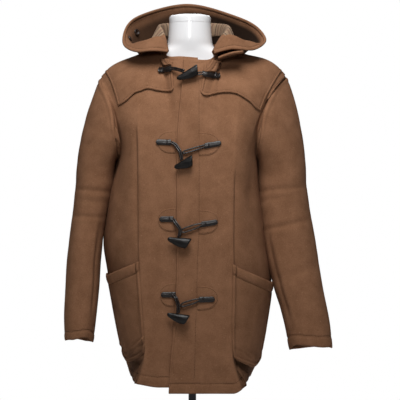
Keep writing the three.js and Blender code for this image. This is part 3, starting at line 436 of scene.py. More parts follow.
def meltonMaterial(name, look):
    material, tree, shader = nodesFor(name)
    link = tree.links.new
    where = addNode(tree, "ShaderNodeTexCoord")
    nap = addNode(tree, "ShaderNodeGroup", node_tree=wool)
    for label in ("Cloud Size", "Fibre Size", "Pill Size", "Pill Amount"):
        nap.inputs[label].default_value = look[label]
    link(where.outputs["Object"], nap.inputs["Vector"])
    ramp = addNode(tree, "ShaderNodeValToRGB")
    ramp.color_ramp.elements[0].position = 0.3
    ramp.color_ramp.elements[0].color = (*look["dark"], 1)
    ramp.color_ramp.elements[1].position = 0.7
    ramp.color_ramp.elements[1].color = (*look["light"], 1)
    link(nap.outputs["Shade"], ramp.inputs["Fac"])
    pills = addNode(tree, "ShaderNodeMix", data_type="RGBA")
    pills.inputs["B"].default_value = (*look["pill"], 1)
    link(nap.outputs["Pills"], pills.inputs["Factor"])
    link(ramp.outputs["Color"], pills.inputs["A"])
    # painted shade: the points' shade attribute darkens the base colour
    depth = addNode(tree, "ShaderNodeAttribute", attribute_name="shade")
    shadePaintedColour = addNode(tree, "ShaderNodeVectorMath", operation="SCALE")
    link(pills.outputs["Result"], shadePaintedColour.inputs[0])
    link(depth.outputs["Fac"], shadePaintedColour.inputs["Scale"])
    link(shadePaintedColour.outputs["Vector"], shader.inputs["Base Color"])
    relief = addNode(tree, "ShaderNodeBump", {"Strength": look["relief"], "Distance": look["reliefDepth"]})
    link(nap.outputs["Height"], relief.inputs["Height"])
    link(relief.outputs["Normal"], shader.inputs["Normal"])
    shader.inputs["Roughness"].default_value = look["roughness"]
    shader.inputs["Specular IOR Level"].default_value = look["shine"]
    shader.inputs["Sheen Weight"].default_value = look["sheen"]
    shader.inputs["Sheen Roughness"].default_value = look["sheenRoughness"]
    shader.inputs["Sheen Tint"].default_value = (*look["light"], 1)
    return material


cloth = {
    "Cloud Size": 26.0, "Fibre Size": 420.0, "Pill Size": 150.0, "Pill Amount": 0.07,
    "dark": (0.150, 0.068, 0.033), "light": (0.285, 0.142, 0.077), "pill": (0.30, 0.155, 0.088),
    "relief": 0.6, "reliefDepth": 0.0006, "roughness": 0.95, "shine": 0.15,
    "sheen": 0.06, "sheenRoughness": 0.45,
}
melton = meltonMaterial("camelMelton", cloth)
threadLook = {**cloth, "Fibre Size": 1800.0, "Pill Amount": 0.0, "dark": (0.10, 0.045, 0.022),
              "light": (0.15, 0.07, 0.035), "sheen": 0.0}
thread = meltonMaterial("brownThread", threadLook)

liningLook = {
    "ground": (0.34, 0.225, 0.14), "band": (0.05, 0.03, 0.022), "line": (0.12, 0.03, 0.026), "pitch": 0.034,
    "stripes": [(0.0, "ground"), (0.28, "band"), (0.38, "ground"), (0.64, "line"), (0.69, "ground"),
                (0.77, "line"), (0.82, "ground")],
}


def liningMaterial():
    # plain stripes one way only, on the lining's own coordinates
    material, tree, shader = nodesFor("stripedLining")
    link = tree.links.new
    where = addNode(tree, "ShaderNodeTexCoord")
    split = addNode(tree, "ShaderNodeSeparateXYZ")
    link(where.outputs["UV"], split.inputs["Vector"])
    count = addNode(tree, "ShaderNodeMath", operation="DIVIDE")
    count.inputs[1].default_value = liningLook["pitch"]
    link(split.outputs["X"], count.inputs[0])
    part = addNode(tree, "ShaderNodeMath", operation="FRACT")
    link(count.outputs["Value"], part.inputs[0])
    ramp = addNode(tree, "ShaderNodeValToRGB")
    ramp.color_ramp.interpolation = "CONSTANT"
    stops = [(place, (*liningLook[colour], 1)) for place, colour in liningLook["stripes"]]
    ramp.color_ramp.elements[0].color = stops[0][1]
    ramp.color_ramp.elements[1].position = stops[1][0]
    ramp.color_ramp.elements[1].color = stops[1][1]
    for position, colour in stops[2:]:
        stop = ramp.color_ramp.elements.new(position)
        stop.color = colour
    link(part.outputs["Value"], ramp.inputs["Fac"])
    weave = addNode(tree, "ShaderNodeTexNoise", {"Scale": 1500.0, "Detail": 2.0})
    link(where.outputs["Object"], weave.inputs["Vector"])
    tone = addNode(tree, "ShaderNodeMix", data_type="RGBA", blend_type="MULTIPLY")
    tone.inputs["Factor"].default_value = 0.35
    link(ramp.outputs["Color"], tone.inputs["A"])
    link(weave.outputs["Fac"], tone.inputs["B"])
    link(tone.outputs["Result"], shader.inputs["Base Color"])
    relief = addNode(tree, "ShaderNodeBump", {"Strength": 0.3, "Distance": 0.0003})
    link(weave.outputs["Fac"], relief.inputs["Height"])
    link(relief.outputs["Normal"], shader.inputs["Normal"])
    shader.inputs["Roughness"].default_value = 0.85
    return material


def polishedMaterial(name, look):
    # horn, leather, metal and the form's shell: a base tone, streaks or grain, and uneven gloss
    material, tree, shader = nodesFor(name)
    link = tree.links.new
    where = addNode(tree, "ShaderNodeTexCoord")
    grain = addNode(tree, "ShaderNodeTexNoise", {"Scale": look["grain"], "Detail": 4.0, "Roughness": 0.6})
    stretch = addNode(tree, "ShaderNodeMapping")
    stretch.inputs["Scale"].default_value = look["stretch"]
    link(where.outputs["Object"], stretch.inputs["Vector"])
    link(stretch.outputs["Vector"], grain.inputs["Vector"])
    ramp = addNode(tree, "ShaderNodeValToRGB")
    ramp.color_ramp.elements[0].position = 0.35
    ramp.color_ramp.elements[0].color = (*look["dark"], 1)
    ramp.color_ramp.elements[1].position = 0.68
    ramp.color_ramp.elements[1].color = (*look["light"], 1)
    link(grain.outputs["Fac"], ramp.inputs["Fac"])
    link(ramp.outputs["Color"], shader.inputs["Base Color"])
    gloss = addNode(tree, "ShaderNodeMapRange", {"To Min": look["smoothest"], "To Max": look["roughest"]})
    link(grain.outputs["Fac"], gloss.inputs["Value"])
    link(gloss.outputs["Result"], shader.inputs["Roughness"])
    relief = addNode(tree, "ShaderNodeBump", {"Strength": look["relief"], "Distance": 0.0004})
    link(grain.outputs["Fac"], relief.inputs["Height"])
    link(relief.outputs["Normal"], shader.inputs["Normal"])
    shader.inputs["Metallic"].default_value = look["metal"]
    shader.inputs["Specular IOR Level"].default_value = look["shine"]
    shader.inputs["Coat Weight"].default_value = look["coat"]
    shader.inputs["Coat Roughness"].default_value = 0.12
    return material


lining = liningMaterial()
horn = polishedMaterial("darkHorn", {
    "grain": 160.0, "stretch": (0.3, 1, 1), "dark": (0.002, 0.0016, 0.0016), "light": (0.007, 0.005, 0.004),
    "smoothest": 0.28, "roughest": 0.55, "relief": 0.3, "metal": 0.0, "coat": 0.03, "shine": 0.3})
buttonHorn = polishedMaterial("brownHorn", {
    "grain": 220.0, "stretch": (1, 1, 1), "dark": (0.010, 0.005, 0.004), "light": (0.035, 0.018, 0.012),
    "smoothest": 0.2, "roughest": 0.4, "relief": 0.1, "metal": 0.0, "coat": 0.2, "shine": 0.5})
leather = polishedMaterial("darkLeather", {
    "grain": 700.0, "stretch": (1, 1, 1), "dark": (0.005, 0.0035, 0.003), "light": (0.018, 0.011, 0.009),
    "smoothest": 0.26, "roughest": 0.5, "relief": 0.3, "metal": 0.0, "coat": 0.1, "shine": 0.45})
formShell = polishedMaterial("whiteShell", {
    "grain": 5.0, "stretch": (1, 1, 1), "dark": (0.80, 0.80, 0.81), "light": (0.84, 0.84, 0.85),
    "smoothest": 0.16, "roughest": 0.24, "relief": 0.02, "metal": 0.0, "coat": 0.25, "shine": 0.5})
darkMetal = polishedMaterial("darkSteel", {
    "grain": 90.0, "stretch": (1, 1, 0.1), "dark": (0.020, 0.020, 0.022), "light": (0.040, 0.040, 0.043),
    "smoothest": 0.2, "roughest": 0.36, "relief": 0.08, "metal": 0.9, "coat": 0.0, "shine": 0.5})
print("materials made")


# body of the coat
# the coat at each height: x of its sides and of its two long creases, y of its front, flank and back
bodyTable = named("z sideRight sideLeft creaseRight creaseLeft front flank back", [
    (350, -152, 147, -146, 141, -150, -120, 136), (385, -164, 156, -145, 136, -150, -105, 139),
    (418, -175, 175, -134, 120, -151, -85, 141), (445, -183, 181, -122, 107, -152, -80, 143),
    (500, -195, 192, -123, 103, -152, -85, 146), (606, -214, 206, -130, 104, -152, -95, 150),
    (668, -225, 205, -134, 104, -152, -100, 150), (715, -232, 198, -135, 104, -152, -104, 149),
    (760, -231, 193, -136, 105, -152, -108, 148), (850, -219, 182, -136, 106, -151, -116, 146),
    (945, -197, 169, -134, 108, -149, -122, 144)])
body = {name: track(bodyTable, "z", name) for name in bodyTable}
sideY = 12.0
leftEdge = xAlongZ([(350, -58), (420, -55), (520, -46), (640, -39), (1120, -36), (1200, -22)])
rightEdgeX = 14.0

# from the shoulder's tip down to the underarm
armhole = {
    ("left", "front"): [(247, 14, 1156), (225, -22, 1138), (203, -60, 1103), (186, -88, 1066),
                        (176, -101, 1020), (170, -88, 978), (168, -44, 952), (169, sideY, 945)],
    ("left", "back"): [(247, 14, 1156), (231, 50, 1136), (214, 82, 1100), (201, 101, 1060),
                       (192, 106, 1020), (181, 96, 978), (173, 62, 952), (169, sideY, 945)],
    ("right", "front"): [(-242, 14, 1152), (-236, -22, 1134), (-220, -60, 1106), (-206, -88, 1070),
                         (-197, -101, 1020), (-192, -88, 978), (-194, -44, 952), (-197, sideY, 945)],
    ("right", "back"): [(-242, 14, 1152), (-234, 50, 1134), (-222, 82, 1100), (-212, 101, 1060),
                        (-206, 106, 1020), (-201, 96, 978), (-198, 62, 952), (-197, sideY, 945)],
}
armhole = {key: curveThrough(points) for key, points in armhole.items()}
# the fronts' from the lap to the shoulder, the back's from the right shoulder to the left
neckline = {
    "left": [(-22, -101, 1192), (14, -101, 1192), (44, -97, 1192), (58, -80, 1202),
             (67, -45, 1217), (72, 14, 1240)],
    "right": [(14, -101, 1197), (-30, -101, 1200), (-56, -97, 1200), (-68, -76, 1206),
              (-77, -40, 1220), (-84, 14, 1240)],
    "back": [(-84, 14, 1240), (-76, 44, 1245), (-48, 74, 1243), (-6, 85, 1240),
             (36, 74, 1243), (64, 44, 1245), (72, 14, 1240)],
}
neckline = {key: curveThrough(points) for key, points in neckline.items()}

# each share is a place along the width of a front or of the back
coat = {
    "neckShare": 0.36, "shoulderShare": 0.7, "creaseShare": 0.52, "shoulderRound": {"left": 19, "right": 15},
    "hem": {"left": 351, "right": 366, "back": 377}, "hemTurnStart": {"left": 0.42, "right": 0.3},
    "hemTurnEnd": 0.56, "lapRecess": 4, "collarRecess": 5, "thickness": 3.0,
    "backNeckShare": 0.34, "backTipShare": 0.18,
}
outwards = {"left": 1, "right": -1}
# which way a front's cloth runs where it meets its top edge
arrivalTable = named("u out y z", [
    (0, 0, 0.35, 0.75), (0.1, 0, 0.35, 0.75), (0.22, 0.02, 0.38, 0.72), (0.36, 0.1, 0.95, 0.3),
    (0.7, 0.3, 0.9, 0.25), (0.78, 0.45, 0.55, 0.6), (0.86, 0.2, 0.1, 0.95), (1, 0, 0, 1)])
arrival = {name: track(arrivalTable, "u", name) for name in ("out", "y", "z")}


def shoulderRise(side, t):
    return coat["shoulderRound"][side] * np.sin(math.pi * np.clip(t, 0, 1) ** 2.2)


def frontTop(side, u):
    neckShare, shoulderShare = coat["neckShare"], coat["shoulderShare"]
    neck = neckline[side](np.clip(u / neckShare, 0, 1))
    arm = armhole[side, "front"](np.clip((u - shoulderShare) / (1 - shoulderShare), 0, 1))
    t = np.clip((u - neckShare) / (shoulderShare - neckShare), 0, 1)
    inner, tip = neckline[side](1.0), armhole[side, "front"](0.0)
    shoulder = mix(inner, tip, t[:, None]) + vectors(0, 0, shoulderRise(side, t))
    return np.where((u < neckShare)[:, None], neck, np.where((u < shoulderShare)[:, None], shoulder, arm))


def frontRing(side, u, z):
    big = side.capitalize()
    outside, crease = body["side" + big](z), body["crease" + big](z)
    edge = leftEdge(z) if side == "left" else np.full_like(z, rightEdgeX)
    front = body["front"](z)
    share = coat["creaseShare"]
    flat = vectors(mix(edge, crease, np.clip(u / share, 0, 1)), front, z)
    t = np.clip((u - share) / (1 - share), 0, 1)
    left = (1 - t) ** 2
    round_ = vectors(left * crease + (1 - left) * outside,
                     left * front + 2 * (1 - t) * t * body["flank"](z) + t * t * sideY, z)
    return np.where((u < share)[:, None], flat, round_)


def frontSurface(side):
    def surface(u, v):
        base = frontRing(side, u, np.full_like(u, underarmHeight))
        end = frontTop(side, u)
        start = coat["hemTurnStart"][side]
        low = mix(coat["hem"][side], coat["hem"]["back"], smooth((u - start) / (coat["hemTurnEnd"] - start)))
        lowLength = underarmHeight - low
        highLength = np.linalg.norm(end - base, axis=-1)
        reach = v * (lowLength + highLength)
        lower = frontRing(side, u, low + np.minimum(reach, lowLength))
        t = np.clip((reach - lowLength) / highLength, 0, 1)
        arriving = vectors(outwards[side] * arrival["out"](u), arrival["y"](u), arrival["z"](u))
        upper = bow(base, vectors(0, 0, 1.1 * highLength), end, arriving * highLength[:, None], t)
        here = np.where((reach <= lowLength)[:, None], lower, upper)
        if side == "right":  # the right front lies under the left one
            recess = coat["lapRecess"] + coat["collarRecess"] * smooth((here[:, 2] - 960) / 200)
            underLap = smooth((here[:, 0] + 112) / 45)
            atFront = smooth((-here[:, 1] - 30) / 50)
            here[:, 1] += recess * underLap * atFront
        return here
    return surface


def backSurface(u, v):
    half = np.minimum(u, 1 - u)
    right = u < 0.5
    tipShare, neckShare = coat["backTipShare"], coat["backNeckShare"]

    def top():
        result = neckline["back"](np.clip((u - neckShare) / (1 - 2 * neckShare), 0, 1))
        for side, mask in (("right", right), ("left", ~right)):
            arm = armhole[side, "back"](np.clip(1 - half / tipShare, 0, 1))
            t = np.clip((half - tipShare) / (neckShare - tipShare), 0, 1)
            end = neckline["back"](0.0 if side == "right" else 1.0)
            shoulder = mix(armhole[side, "back"](0.0), end, t[:, None])
            shoulder = shoulder + vectors(0, 0, shoulderRise(side, 1 - t))
            result = np.where((mask & (half < tipShare))[:, None], arm, result)
            result = np.where((mask & (half >= tipShare) & (half < neckShare))[:, None], shoulder, result)
        return result

    def ring(z):
        side = np.where(right, body["sideRight"](z), body["sideLeft"](z))
        middle = (body["sideRight"](z) + body["sideLeft"](z)) / 2
        angle = half * math.pi
        x = mix(middle, side, np.maximum(np.cos(angle), 0) ** 0.75)
        return vectors(x, sideY + (body["back"](z) - sideY) * np.sin(angle) ** 0.8, z)

    base = ring(np.full_like(u, underarmHeight))
    end = top()
    lowLength = underarmHeight - coat["hem"]["back"]
    highLength = np.linalg.norm(end - base, axis=-1)
    reach = v * (lowLength + highLength)
    lower = ring(coat["hem"]["back"] + np.minimum(reach, lowLength))
    # at the sides the cloth bends in over the shoulder, at the middle it rises straight
    turned = smooth((half - 0.04) / 0.14)
    neckTurn = smooth((half - tipShare) / 0.3)
    out = np.where(right, -1, 1) * 0.35 * turned * (1 - neckTurn)
    arriving = vectors(out, -0.85 * turned, mix(1, 0.3, turned)) * highLength[:, None]
    t = np.clip((reach - lowLength) / highLength, 0, 1)
    upper = bow(base, vectors(0, 0, 1.1 * highLength), end, arriving, t)
    return np.where((reach <= lowLength)[:, None], lower, upper)


# creases on the fronts, seen from the front: depth, width, then x and z along the line
frontCreases = {
    "right": [
        (-3.0, 9, [(-141, 1030), (-139, 900), (-136, 700)]),
        (2.2, 13, [(-118, 1010), (-120, 860), (-118, 690)]),
        (-2.5, 12, [(-182, 1000), (-196, 930), (-190, 820)]),
        (-2.0, 14, [(-170, 900), (-185, 800), (-176, 700)]),
        (-3.0, 10, [(-128, 442), (-138, 400), (-150, 376)]),
        (1.8, 12, [(-112, 440), (-116, 400), (-124, 372)]),
        (1.6, 7, [(-72, 1196), (-66, 1178), (-62, 1160)]),
        (-1.6, 2.6, [(-62, 1191), (-46, 1190), (-30, 1189)]),
        (-1.2, 30, [(-90, 700), (-92, 560), (-86, 430)]),
        (-1.0, 26, [(-70, 1060), (-84, 980), (-78, 880)]),
    ],
    "left": [
        (-3.0, 9, [(107, 930), (107, 800), (106, 670)]),
        (2.0, 13, [(88, 920), (88, 790), (86, 660)]),
        (-2.6, 12, [(150, 985), (158, 900), (152, 800)]),
        (-2.0, 14, [(142, 900), (156, 790), (160, 700)]),
        (-3.0, 10, [(106, 442), (113, 405), (122, 372)]),
        (1.8, 12, [(90, 440), (96, 405), (101, 370)]),
        (2.0, 6, [(46, 1192), (40, 1174), (30, 1156)]),
        (-1.6, 5, [(56, 1190), (50, 1172), (42, 1158)]),
        (-2.4, 2.6, [(-20, 1192), (12, 1191), (40, 1193)]),  # the stitched rectangle at the neck
        (-2.0, 2.6, [(-12, 1182), (12, 1181), (36, 1183)]),
        (-2.4, 2.6, [(-17, 1192), (-15, 1180), (-15, 1168)]),
        (-1.2, 28, [(70, 700), (74, 560), (64, 430)]),
        (-1.0, 26, [(64, 1060), (76, 980), (70, 880)]),
    ],
}
backCreases = [
    (-3.0, 16, [(-120, 1020), (-132, 860), (-124, 640)]),
    (-3.0, 16, [(104, 1010), (116, 840), (108, 620)]),
    (2.4, 20, [(-88, 960), (-96, 760), (-92, 520)]),
    (2.2, 20, [(74, 950), (84, 760), (78, 520)]),
    (-2.2, 22, [(-40, 900), (-46, 700), (-34, 450)]),
    (-2.0, 22, [(28, 880), (34, 700), (24, 440)]),
    (-2.0, 12, [(-150, 1070), (-120, 1045), (-84, 1040)]),
    (-2.0, 12, [(140, 1070), (112, 1048), (72, 1042)]),
]


def waves(x, z, size):
    # the slow unevenness of thick cloth
    slow = np.sin(x / 31 + 1.3 * np.sin(z / 83)) * np.sin(z / 67 + 0.8)
    return size * (slow + 0.6 * np.sin(x / 17 + z / 43))


def seamDip(distance, depth=1.4, width=5.0):
    # the cloth sinks in along a seam
    return -depth * bump(distance, width)


facingLine = xAlongZ([(380, 6), (458, 7.5), (678, 13.7), (759, 17.5), (1140, 17.5)])
frontLook = {"hem": {"right": 25.0, "left": 24.0}, "lapInset": 6.0, "waves": 0.6, "facingTop": 1140,
             "foldRidge": 1.4, "tuckPaintedShade": 0.5}
# a long fold runs down each front; beyond it the side cloth lies further back, most of all under the pocket
folds = {
    "right": {"line": xAlongZ([(360, -143), (450, -121), (560, -128), (700, -134), (900, -137),
                               (1060, -140)]),
              "top": 1045, "depth": 4.5, "low": 448, "tuck": 11.0},
    "left": {"line": xAlongZ([(360, 125), (450, 103), (560, 105), (700, 106), (930, 107)]),
             "top": 935, "depth": 4.5, "low": 451, "tuck": 13.0},
}
frontColumns = spaced((0, 0.05, 15), (0.05, 0.2, 26), (0.2, 0.46, 30), (0.46, 0.66, 44), (0.66, 1, 34))
frontRows = spaced((0, 0.12, 40), (0.12, 0.92, 130), (0.92, 1, 30))
panels = {}
for side in ("left", "right"):
    grid = gridOf(frontSurface(side), frontColumns, frontRows)
    sign = outwards[side]
    normals = gridNormals(grid, sign)
    x, z = grid[..., 0], grid[..., 2]
    push = creaseField(x, z, frontCreases[side]) + waves(x, z, frontLook["waves"])
    u, v = frontColumns[None, :], frontRows[:, None]
    away = edgeDistances(grid)
    push += seamDip(away["end"]) + np.where(u > coat["neckShare"], seamDip(away["high"]), 0)
    # it lies flat at the lap
    push *= smooth(u * 6 + 0.15)
    push += hemmed(away["low"], frontLook["hem"][side], 0.5, 0.8)
    if side == "left":
        stitched = 0.7 * bump(x - facingLine(z), 2.4) * (z < frontLook["facingTop"])
        push += hemmed(away["start"], frontLook["lapInset"], 1.1, 0.7) - stitched
    fold = folds[side]
    beyond = (x - fold["line"](z)) * sign
    past = smooth(beyond / 7 + 0.5) * smooth(away["end"] / 60)
    lower = smooth((fold["low"] - z) / 22)
    atHem = mix(0.12, 1, smooth((z - 372) / 62))
    tucked = fold["tuck"] * lower * past * atHem
    belowTop = smooth((fold["top"] - z) / 70)
    push += frontLook["foldRidge"] * bump(beyond + 6, 7) * belowTop
    push -= fold["depth"] * belowTop * past + tucked
    # painted shade: the tucked cloth's colour is darkened where it lies back in shadow
    shade = 1 - frontLook["tuckPaintedShade"] * past * lower
    # at the shoulder seam the normals of front and back agree
    upright = smooth((v - 0.975) / 0.025) * (u > coat["neckShare"]) * (u < coat["shoulderShare"])
    normals[..., 1] *= 1 - upright
    normals = unit(normals)
    plain = grid + normals * (push + tucked)[..., None]
    grid = grid + normals * push[..., None]
    # pockets, patches and toggles are laid on the front without its tuck
    panels[side] = (plain, gridNormals(plain, sign))
    shell("coatFront" + side.capitalize(), grid, normals, coat["thickness"], melton, "front_" + side,
          shade=shade)

grid = gridOf(backSurface, 120, 150)
normals = gridNormals(grid, -1)
x, z = grid[..., 0], grid[..., 2]
u = np.linspace(0, 1, grid.shape[1])[None, :]
v = np.linspace(0, 1, grid.shape[0])[:, None]
edge = np.minimum(u, 1 - u)
push = creaseField(x, z, backCreases) + waves(x + 40, z, frontLook["waves"])
push += seamDip(edge * 900) + np.where(edge > coat["backTipShare"], seamDip((1 - v) * 800), 0)
upright = smooth((v - 0.975) / 0.025) * (edge > coat["backTipShare"])
upright = upright * (edge < coat["backNeckShare"] + 0.02)
normals[..., 1] *= 1 - upright
normals = unit(normals)
grid = grid + normals * push[..., None]
panels["back"] = (grid, gridNormals(grid, -1))
shell("coatBack", grid, normals, coat["thickness"], melton, ["back_left", "back_right"])
print("fronts and back made")


def seek(side, x, z):
    # the u and v of points on a front, given where they are seen from the front
    points = panels[side][0]
    x, z = np.atleast_1d(np.asarray(x, float)), np.atleast_1d(np.asarray(z, float))
    u, v = np.full_like(x, 0.4), np.full_like(x, 0.6)
    step = 0.004
    for _ in range(60):
        here = sample(points, u, v, frontColumns, frontRows)
        byU = (sample(points, u + step, v, frontColumns, frontRows) - here) / step
        byV = (sample(points, u, v + step, frontColumns, frontRows) - here) / step
        turn = byU[..., 0] * byV[..., 2] - byV[..., 0] * byU[..., 2]
        turn = np.where(np.abs(turn) < 1e-6, 1e-6, turn)
        awayX, awayZ = x - here[..., 0], z - here[..., 2]
        u = np.clip(u + 0.6 * (byV[..., 2] * awayX - byV[..., 0] * awayZ) / turn, 0.002, 0.99)
        v = np.clip(v + 0.6 * (byU[..., 0] * awayZ - byU[..., 2] * awayX) / turn, 0.002, 0.99)
    return u, v


def lifted(side, u, v, lift):
    points, normals = panels[side]
    lift = np.broadcast_to(lift, np.shape(u))
    place = sample(points, u, v, frontColumns, frontRows)
    return place + unit(sample(normals, u, v, frontColumns, frontRows)) * lift[..., None]


def onFront(side, x, z, lift):
    x, z = np.broadcast_arrays(np.asarray(x, float), np.asarray(z, float))
    u, v = seek(side, x.ravel(), z.ravel())
    lift = np.broadcast_to(lift, x.shape).ravel()
    return lifted(side, u, v, lift).reshape(*x.shape, 3)


# stitch lines are gathered here: a list of points, and whether the line closes
stitchLines = []


def stitchAlong(points, closed=False):
    stitchLines.append((np.asarray(points, float), closed))


# facing and hem lines
backHemRow = 6
hemStitchLift = 0.25
height = np.linspace(1138, 392, 150)
stitchAlong(onFront("left", facingLine(height), height, 0.1))
for side in ("left", "right"):
    points, normals = panels[side]
    at = rowsFrom(points, frontLook["hem"][side], last=-1, fromHigh=False)
    stitchAlong(points[at] + normals[at] * hemStitchLift)
points, normals = panels["back"]
stitchAlong(points[backHemRow] + normals[backHemRow] * hemStitchLift)

# sleeves
sleeve = {"top": 880.0, "thickness": 3.0, "hem": {"left": 27.0, "right": 20.0}, "drawn": 9.0}
sleeveTables = {
    "left": named("z inner outer front back", [
        (457, 250, 361, -92, 12), (522, 236, 355, -88, 24), (606, 215, 338, -82, 38),
        (668, 202, 328, -77, 50), (715, 193.5, 322, -74, 58), (760, 187.5, 315, -72, 65),
        (820, 180, 305, -72, 74), (880, 177, 296, -75, 84)]),
    "right": named("z inner outer front back", [
        (476, -256, -328, -88, 18), (540, -247, -331, -84, 30), (606, -241, -329, -80, 42),
        (668, -238, -326, -76, 52), (715, -234.5, -322, -74, 60), (760, -232, -317, -72, 66),
        (820, -221, -309, -72, 76), (880, -210, -302, -75, 86)]),
}
# creases across the sleeves: height, depth, width, climb outwards, and the middle angle they face
sleeveCreases = {
    "left": [
        (864, 2.8, 6.5, 0.12, 100), (772, 3.0, 7.5, 0.25, 95), (640, 2, 16, 0.4, 90),
        (930, 3, 14, 0.3, 250), (800, 4, 15, 0.2, 265), (725, 3.5, 14, -0.2, 280),
        (845, 1.5, 7, 0.25, 120), (1010, 1.5, 18, 0.5, 60)],
    "right": [
        (975, 1.8, 13, 0.15, 90), (858, 2.6, 6.5, 0.1, 95), (791, 2.6, 6.5, 0.05, 90),
        (920, 3.5, 14, 0.2, 260), (810, 4, 15, 0.1, 270), (730, 3, 16, -0.2, 255),
        (830, 1.5, 8, 0.1, 110), (1020, 1.5, 18, 0.4, 70)],
}
# how far each sleeve's inner side is brought in against the coat
sleeveEase = {
    "right": xAlongZ([(600, 0), (700, 0), (760, 4), (830, 7), (900, 8), (950, 4), (1000, 0)]),
    "left": xAlongZ([(560, 0), (600, 3), (680, 7), (850, 10), (900, 9), (950, 4), (1000, 0)]),
}


def sleeveSurface(side):
    out = outwards[side]
    table = sleeveTables[side]
    cuff = table["z"][0]
    across = {name: track(table, "z", name) for name in ("inner", "outer", "front", "back")}

    def section(angle, z):
        wide = np.sign(np.cos(angle)) * np.abs(np.cos(angle)) ** 0.9
        deep = np.sign(np.sin(angle)) * np.abs(np.sin(angle)) ** 0.9
        return vectors(mix(across["inner"](z), across["outer"](z), (1 + wide) / 2),
                       mix(across["back"](z), across["front"](z), (1 + deep) / 2), z)

    def surface(u, v):
        angle = 2 * math.pi * u
        start = np.where((u < 0.5)[:, None], armhole[side, "front"](np.clip(2 * u, 0, 1)),
                         armhole[side, "back"](np.clip(2 - 2 * u, 0, 1)))
        # the sleeve's head starts just inside the armhole, so the seam is closed
        start[:, 0] += out * (0.3 + 1.2 * np.maximum(0, -np.cos(angle)))
        joined = section(angle, np.full_like(u, sleeve["top"]))
        topLength = np.linalg.norm(start - joined, axis=-1)
        reach = v * (topLength + sleeve["top"] - cuff)
        lower = section(angle, sleeve["top"] - np.maximum(reach - topLength, 0))
        aside = 0.37 + 0.3 * np.abs(np.sin(angle))
        leaving = vectors(out * aside, 0, -np.sqrt(1 - aside ** 2)) * topLength[:, None]
        upper = bow(start, leaving, joined, vectors(0, 0, -topLength), np.clip(reach / topLength, 0, 1))
        here = np.where((reach >= topLength)[:, None], lower, upper)
        for height, deep, wide, climb, middle in sleeveCreases[side]:
            seen = 0.12 + 0.88 * np.maximum(0, np.cos(angle - math.radians(middle))) ** 1.5
            above = (here[:, 2] - height - climb * (out * here[:, 0] - 250)) / wide
            depth = deep * seen * np.exp(-above ** 2) * np.minimum(1, v * 12)
            here[:, 0] -= out * depth * np.cos(angle)
            here[:, 1] += depth * np.sin(angle)
        return here
    return surface


for side in ("left", "right"):
    grid = gridOf(sleeveSurface(side), 96, 150, ring=True)
    normals = gridNormals(grid, outwards[side], ring=True)
    v = np.linspace(0, 1, grid.shape[0])[:, None]
    away = edgeDistances(grid)
    push = waves(grid[..., 0] + grid[..., 1], grid[..., 2], 0.6) - 1.4 * bump(away["low"], 2.6)
    push += 1.5 * bump(away["low"] - 6.5, 3.4) - 0.9 * bump(away["low"] - 13, 2.2)  # the seam's ridge
    push += hemmed(away["high"], sleeve["hem"][side], 0.9, 1.1)
    # the cuff is drawn up at the front and hangs lower behind
    facingFront = smooth(-normals[..., 1] + 0.2)
    innerSide = mix(0.35, 1, smooth(0.5 - outwards[side] * normals[..., 0]))
    drawn = innerSide * smooth(1 - away["high"] / 60)
    grid[..., 2] += (sleeve["drawn"] * facingFront - sleeve["drawn"] * (1 - facingFront)) * drawn
    turn = np.arange(grid.shape[1])[None, :] / grid.shape[1]
    downSleeve = smooth((away["low"] - 190) / 90) * smooth((away["high"] - 40) / 80)
    # a soft fold runs down the sleeve: a ridge with a trough beside it
    push += (2.2 * bump(turn - 0.345, 0.022) - 3.0 * bump(turn - 0.385, 0.02)) * downSleeve
    grid = grid + normals * push[..., None]
    # its inner side rests against the coat
    inner = smooth(-outwards[side] * normals[..., 0] + 0.2)
    grid[..., 0] -= outwards[side] * sleeveEase[side](grid[..., 2]) * inner
    halves = ["sleeve_" + side + "_front", "sleeve_" + side + "_back"]
    shell("sleeve" + side.capitalize(), grid, normals, sleeve["thickness"], melton, halves, ring=True)
    at = rowsFrom(grid, sleeve["hem"][side])
    stitchAlong(grid[at] + normals[at] * 0.2, True)
print("sleeves made")

# yokes
# topShare says where the yoke starts and ends along the front's top edge
yoke = {"lift": 0.4, "thickness": 2.8, "topShare": {"left": (0.11, 0.672), "right": (0.125, 0.668)},
        "ride": 3.0, "notch": {"left": 0.02, "right": 0.01}, "stitchInset": 7.0}
# the lower edge of each front half, from the lap to the armhole
yokeRows = {
    "left": [(21, 1108), (27, 1099), (43, 1098), (64, 1103), (88, 1105), (111, 1102), (131, 1091),
             (145, 1082), (157, 1070), (171, 1060)],
    "right": [(-45, 1117), (-50, 1110), (-63, 1108), (-87, 1110), (-112, 1115), (-130, 1109),
              (-144, 1104), (-161, 1089), (-169, 1083), (-186, 1074)],
}


def yokeFront(side):
    line = curveThrough([(x, 0, z) for x, z in yokeRows[side]])
    share = np.linspace(0, 1, 121)
    drawn = line(share)
    lowU, lowV = seek(side, drawn[:, 0], drawn[:, 2])
    first, last = yoke["topShare"][side]

    def surface(s, t):
        startU, startV = np.interp(s, share, lowU), np.interp(s, share, lowV)
        topU = mix(first, last, s)
        beside = bump(topU - coat["neckShare"], 0.06)
        atNeck = smooth((coat["neckShare"] + 0.04 - topU) / 0.04)
        topV = 0.999 - 0.022 * atNeck - yoke["notch"][side] * beside
        flare = 3.0 * (1 - t) ** 4 * np.sin(math.pi * np.clip(s, 0.001, 1)) ** 0.5
        ride = yoke["ride"] * smooth((t - 0.6) / 0.3) * beside
        lift = yoke["lift"] + yoke["thickness"] + flare + ride
        return lifted(side, mix(startU, topU, t), mix(startV, topV, t), lift)
    return surface


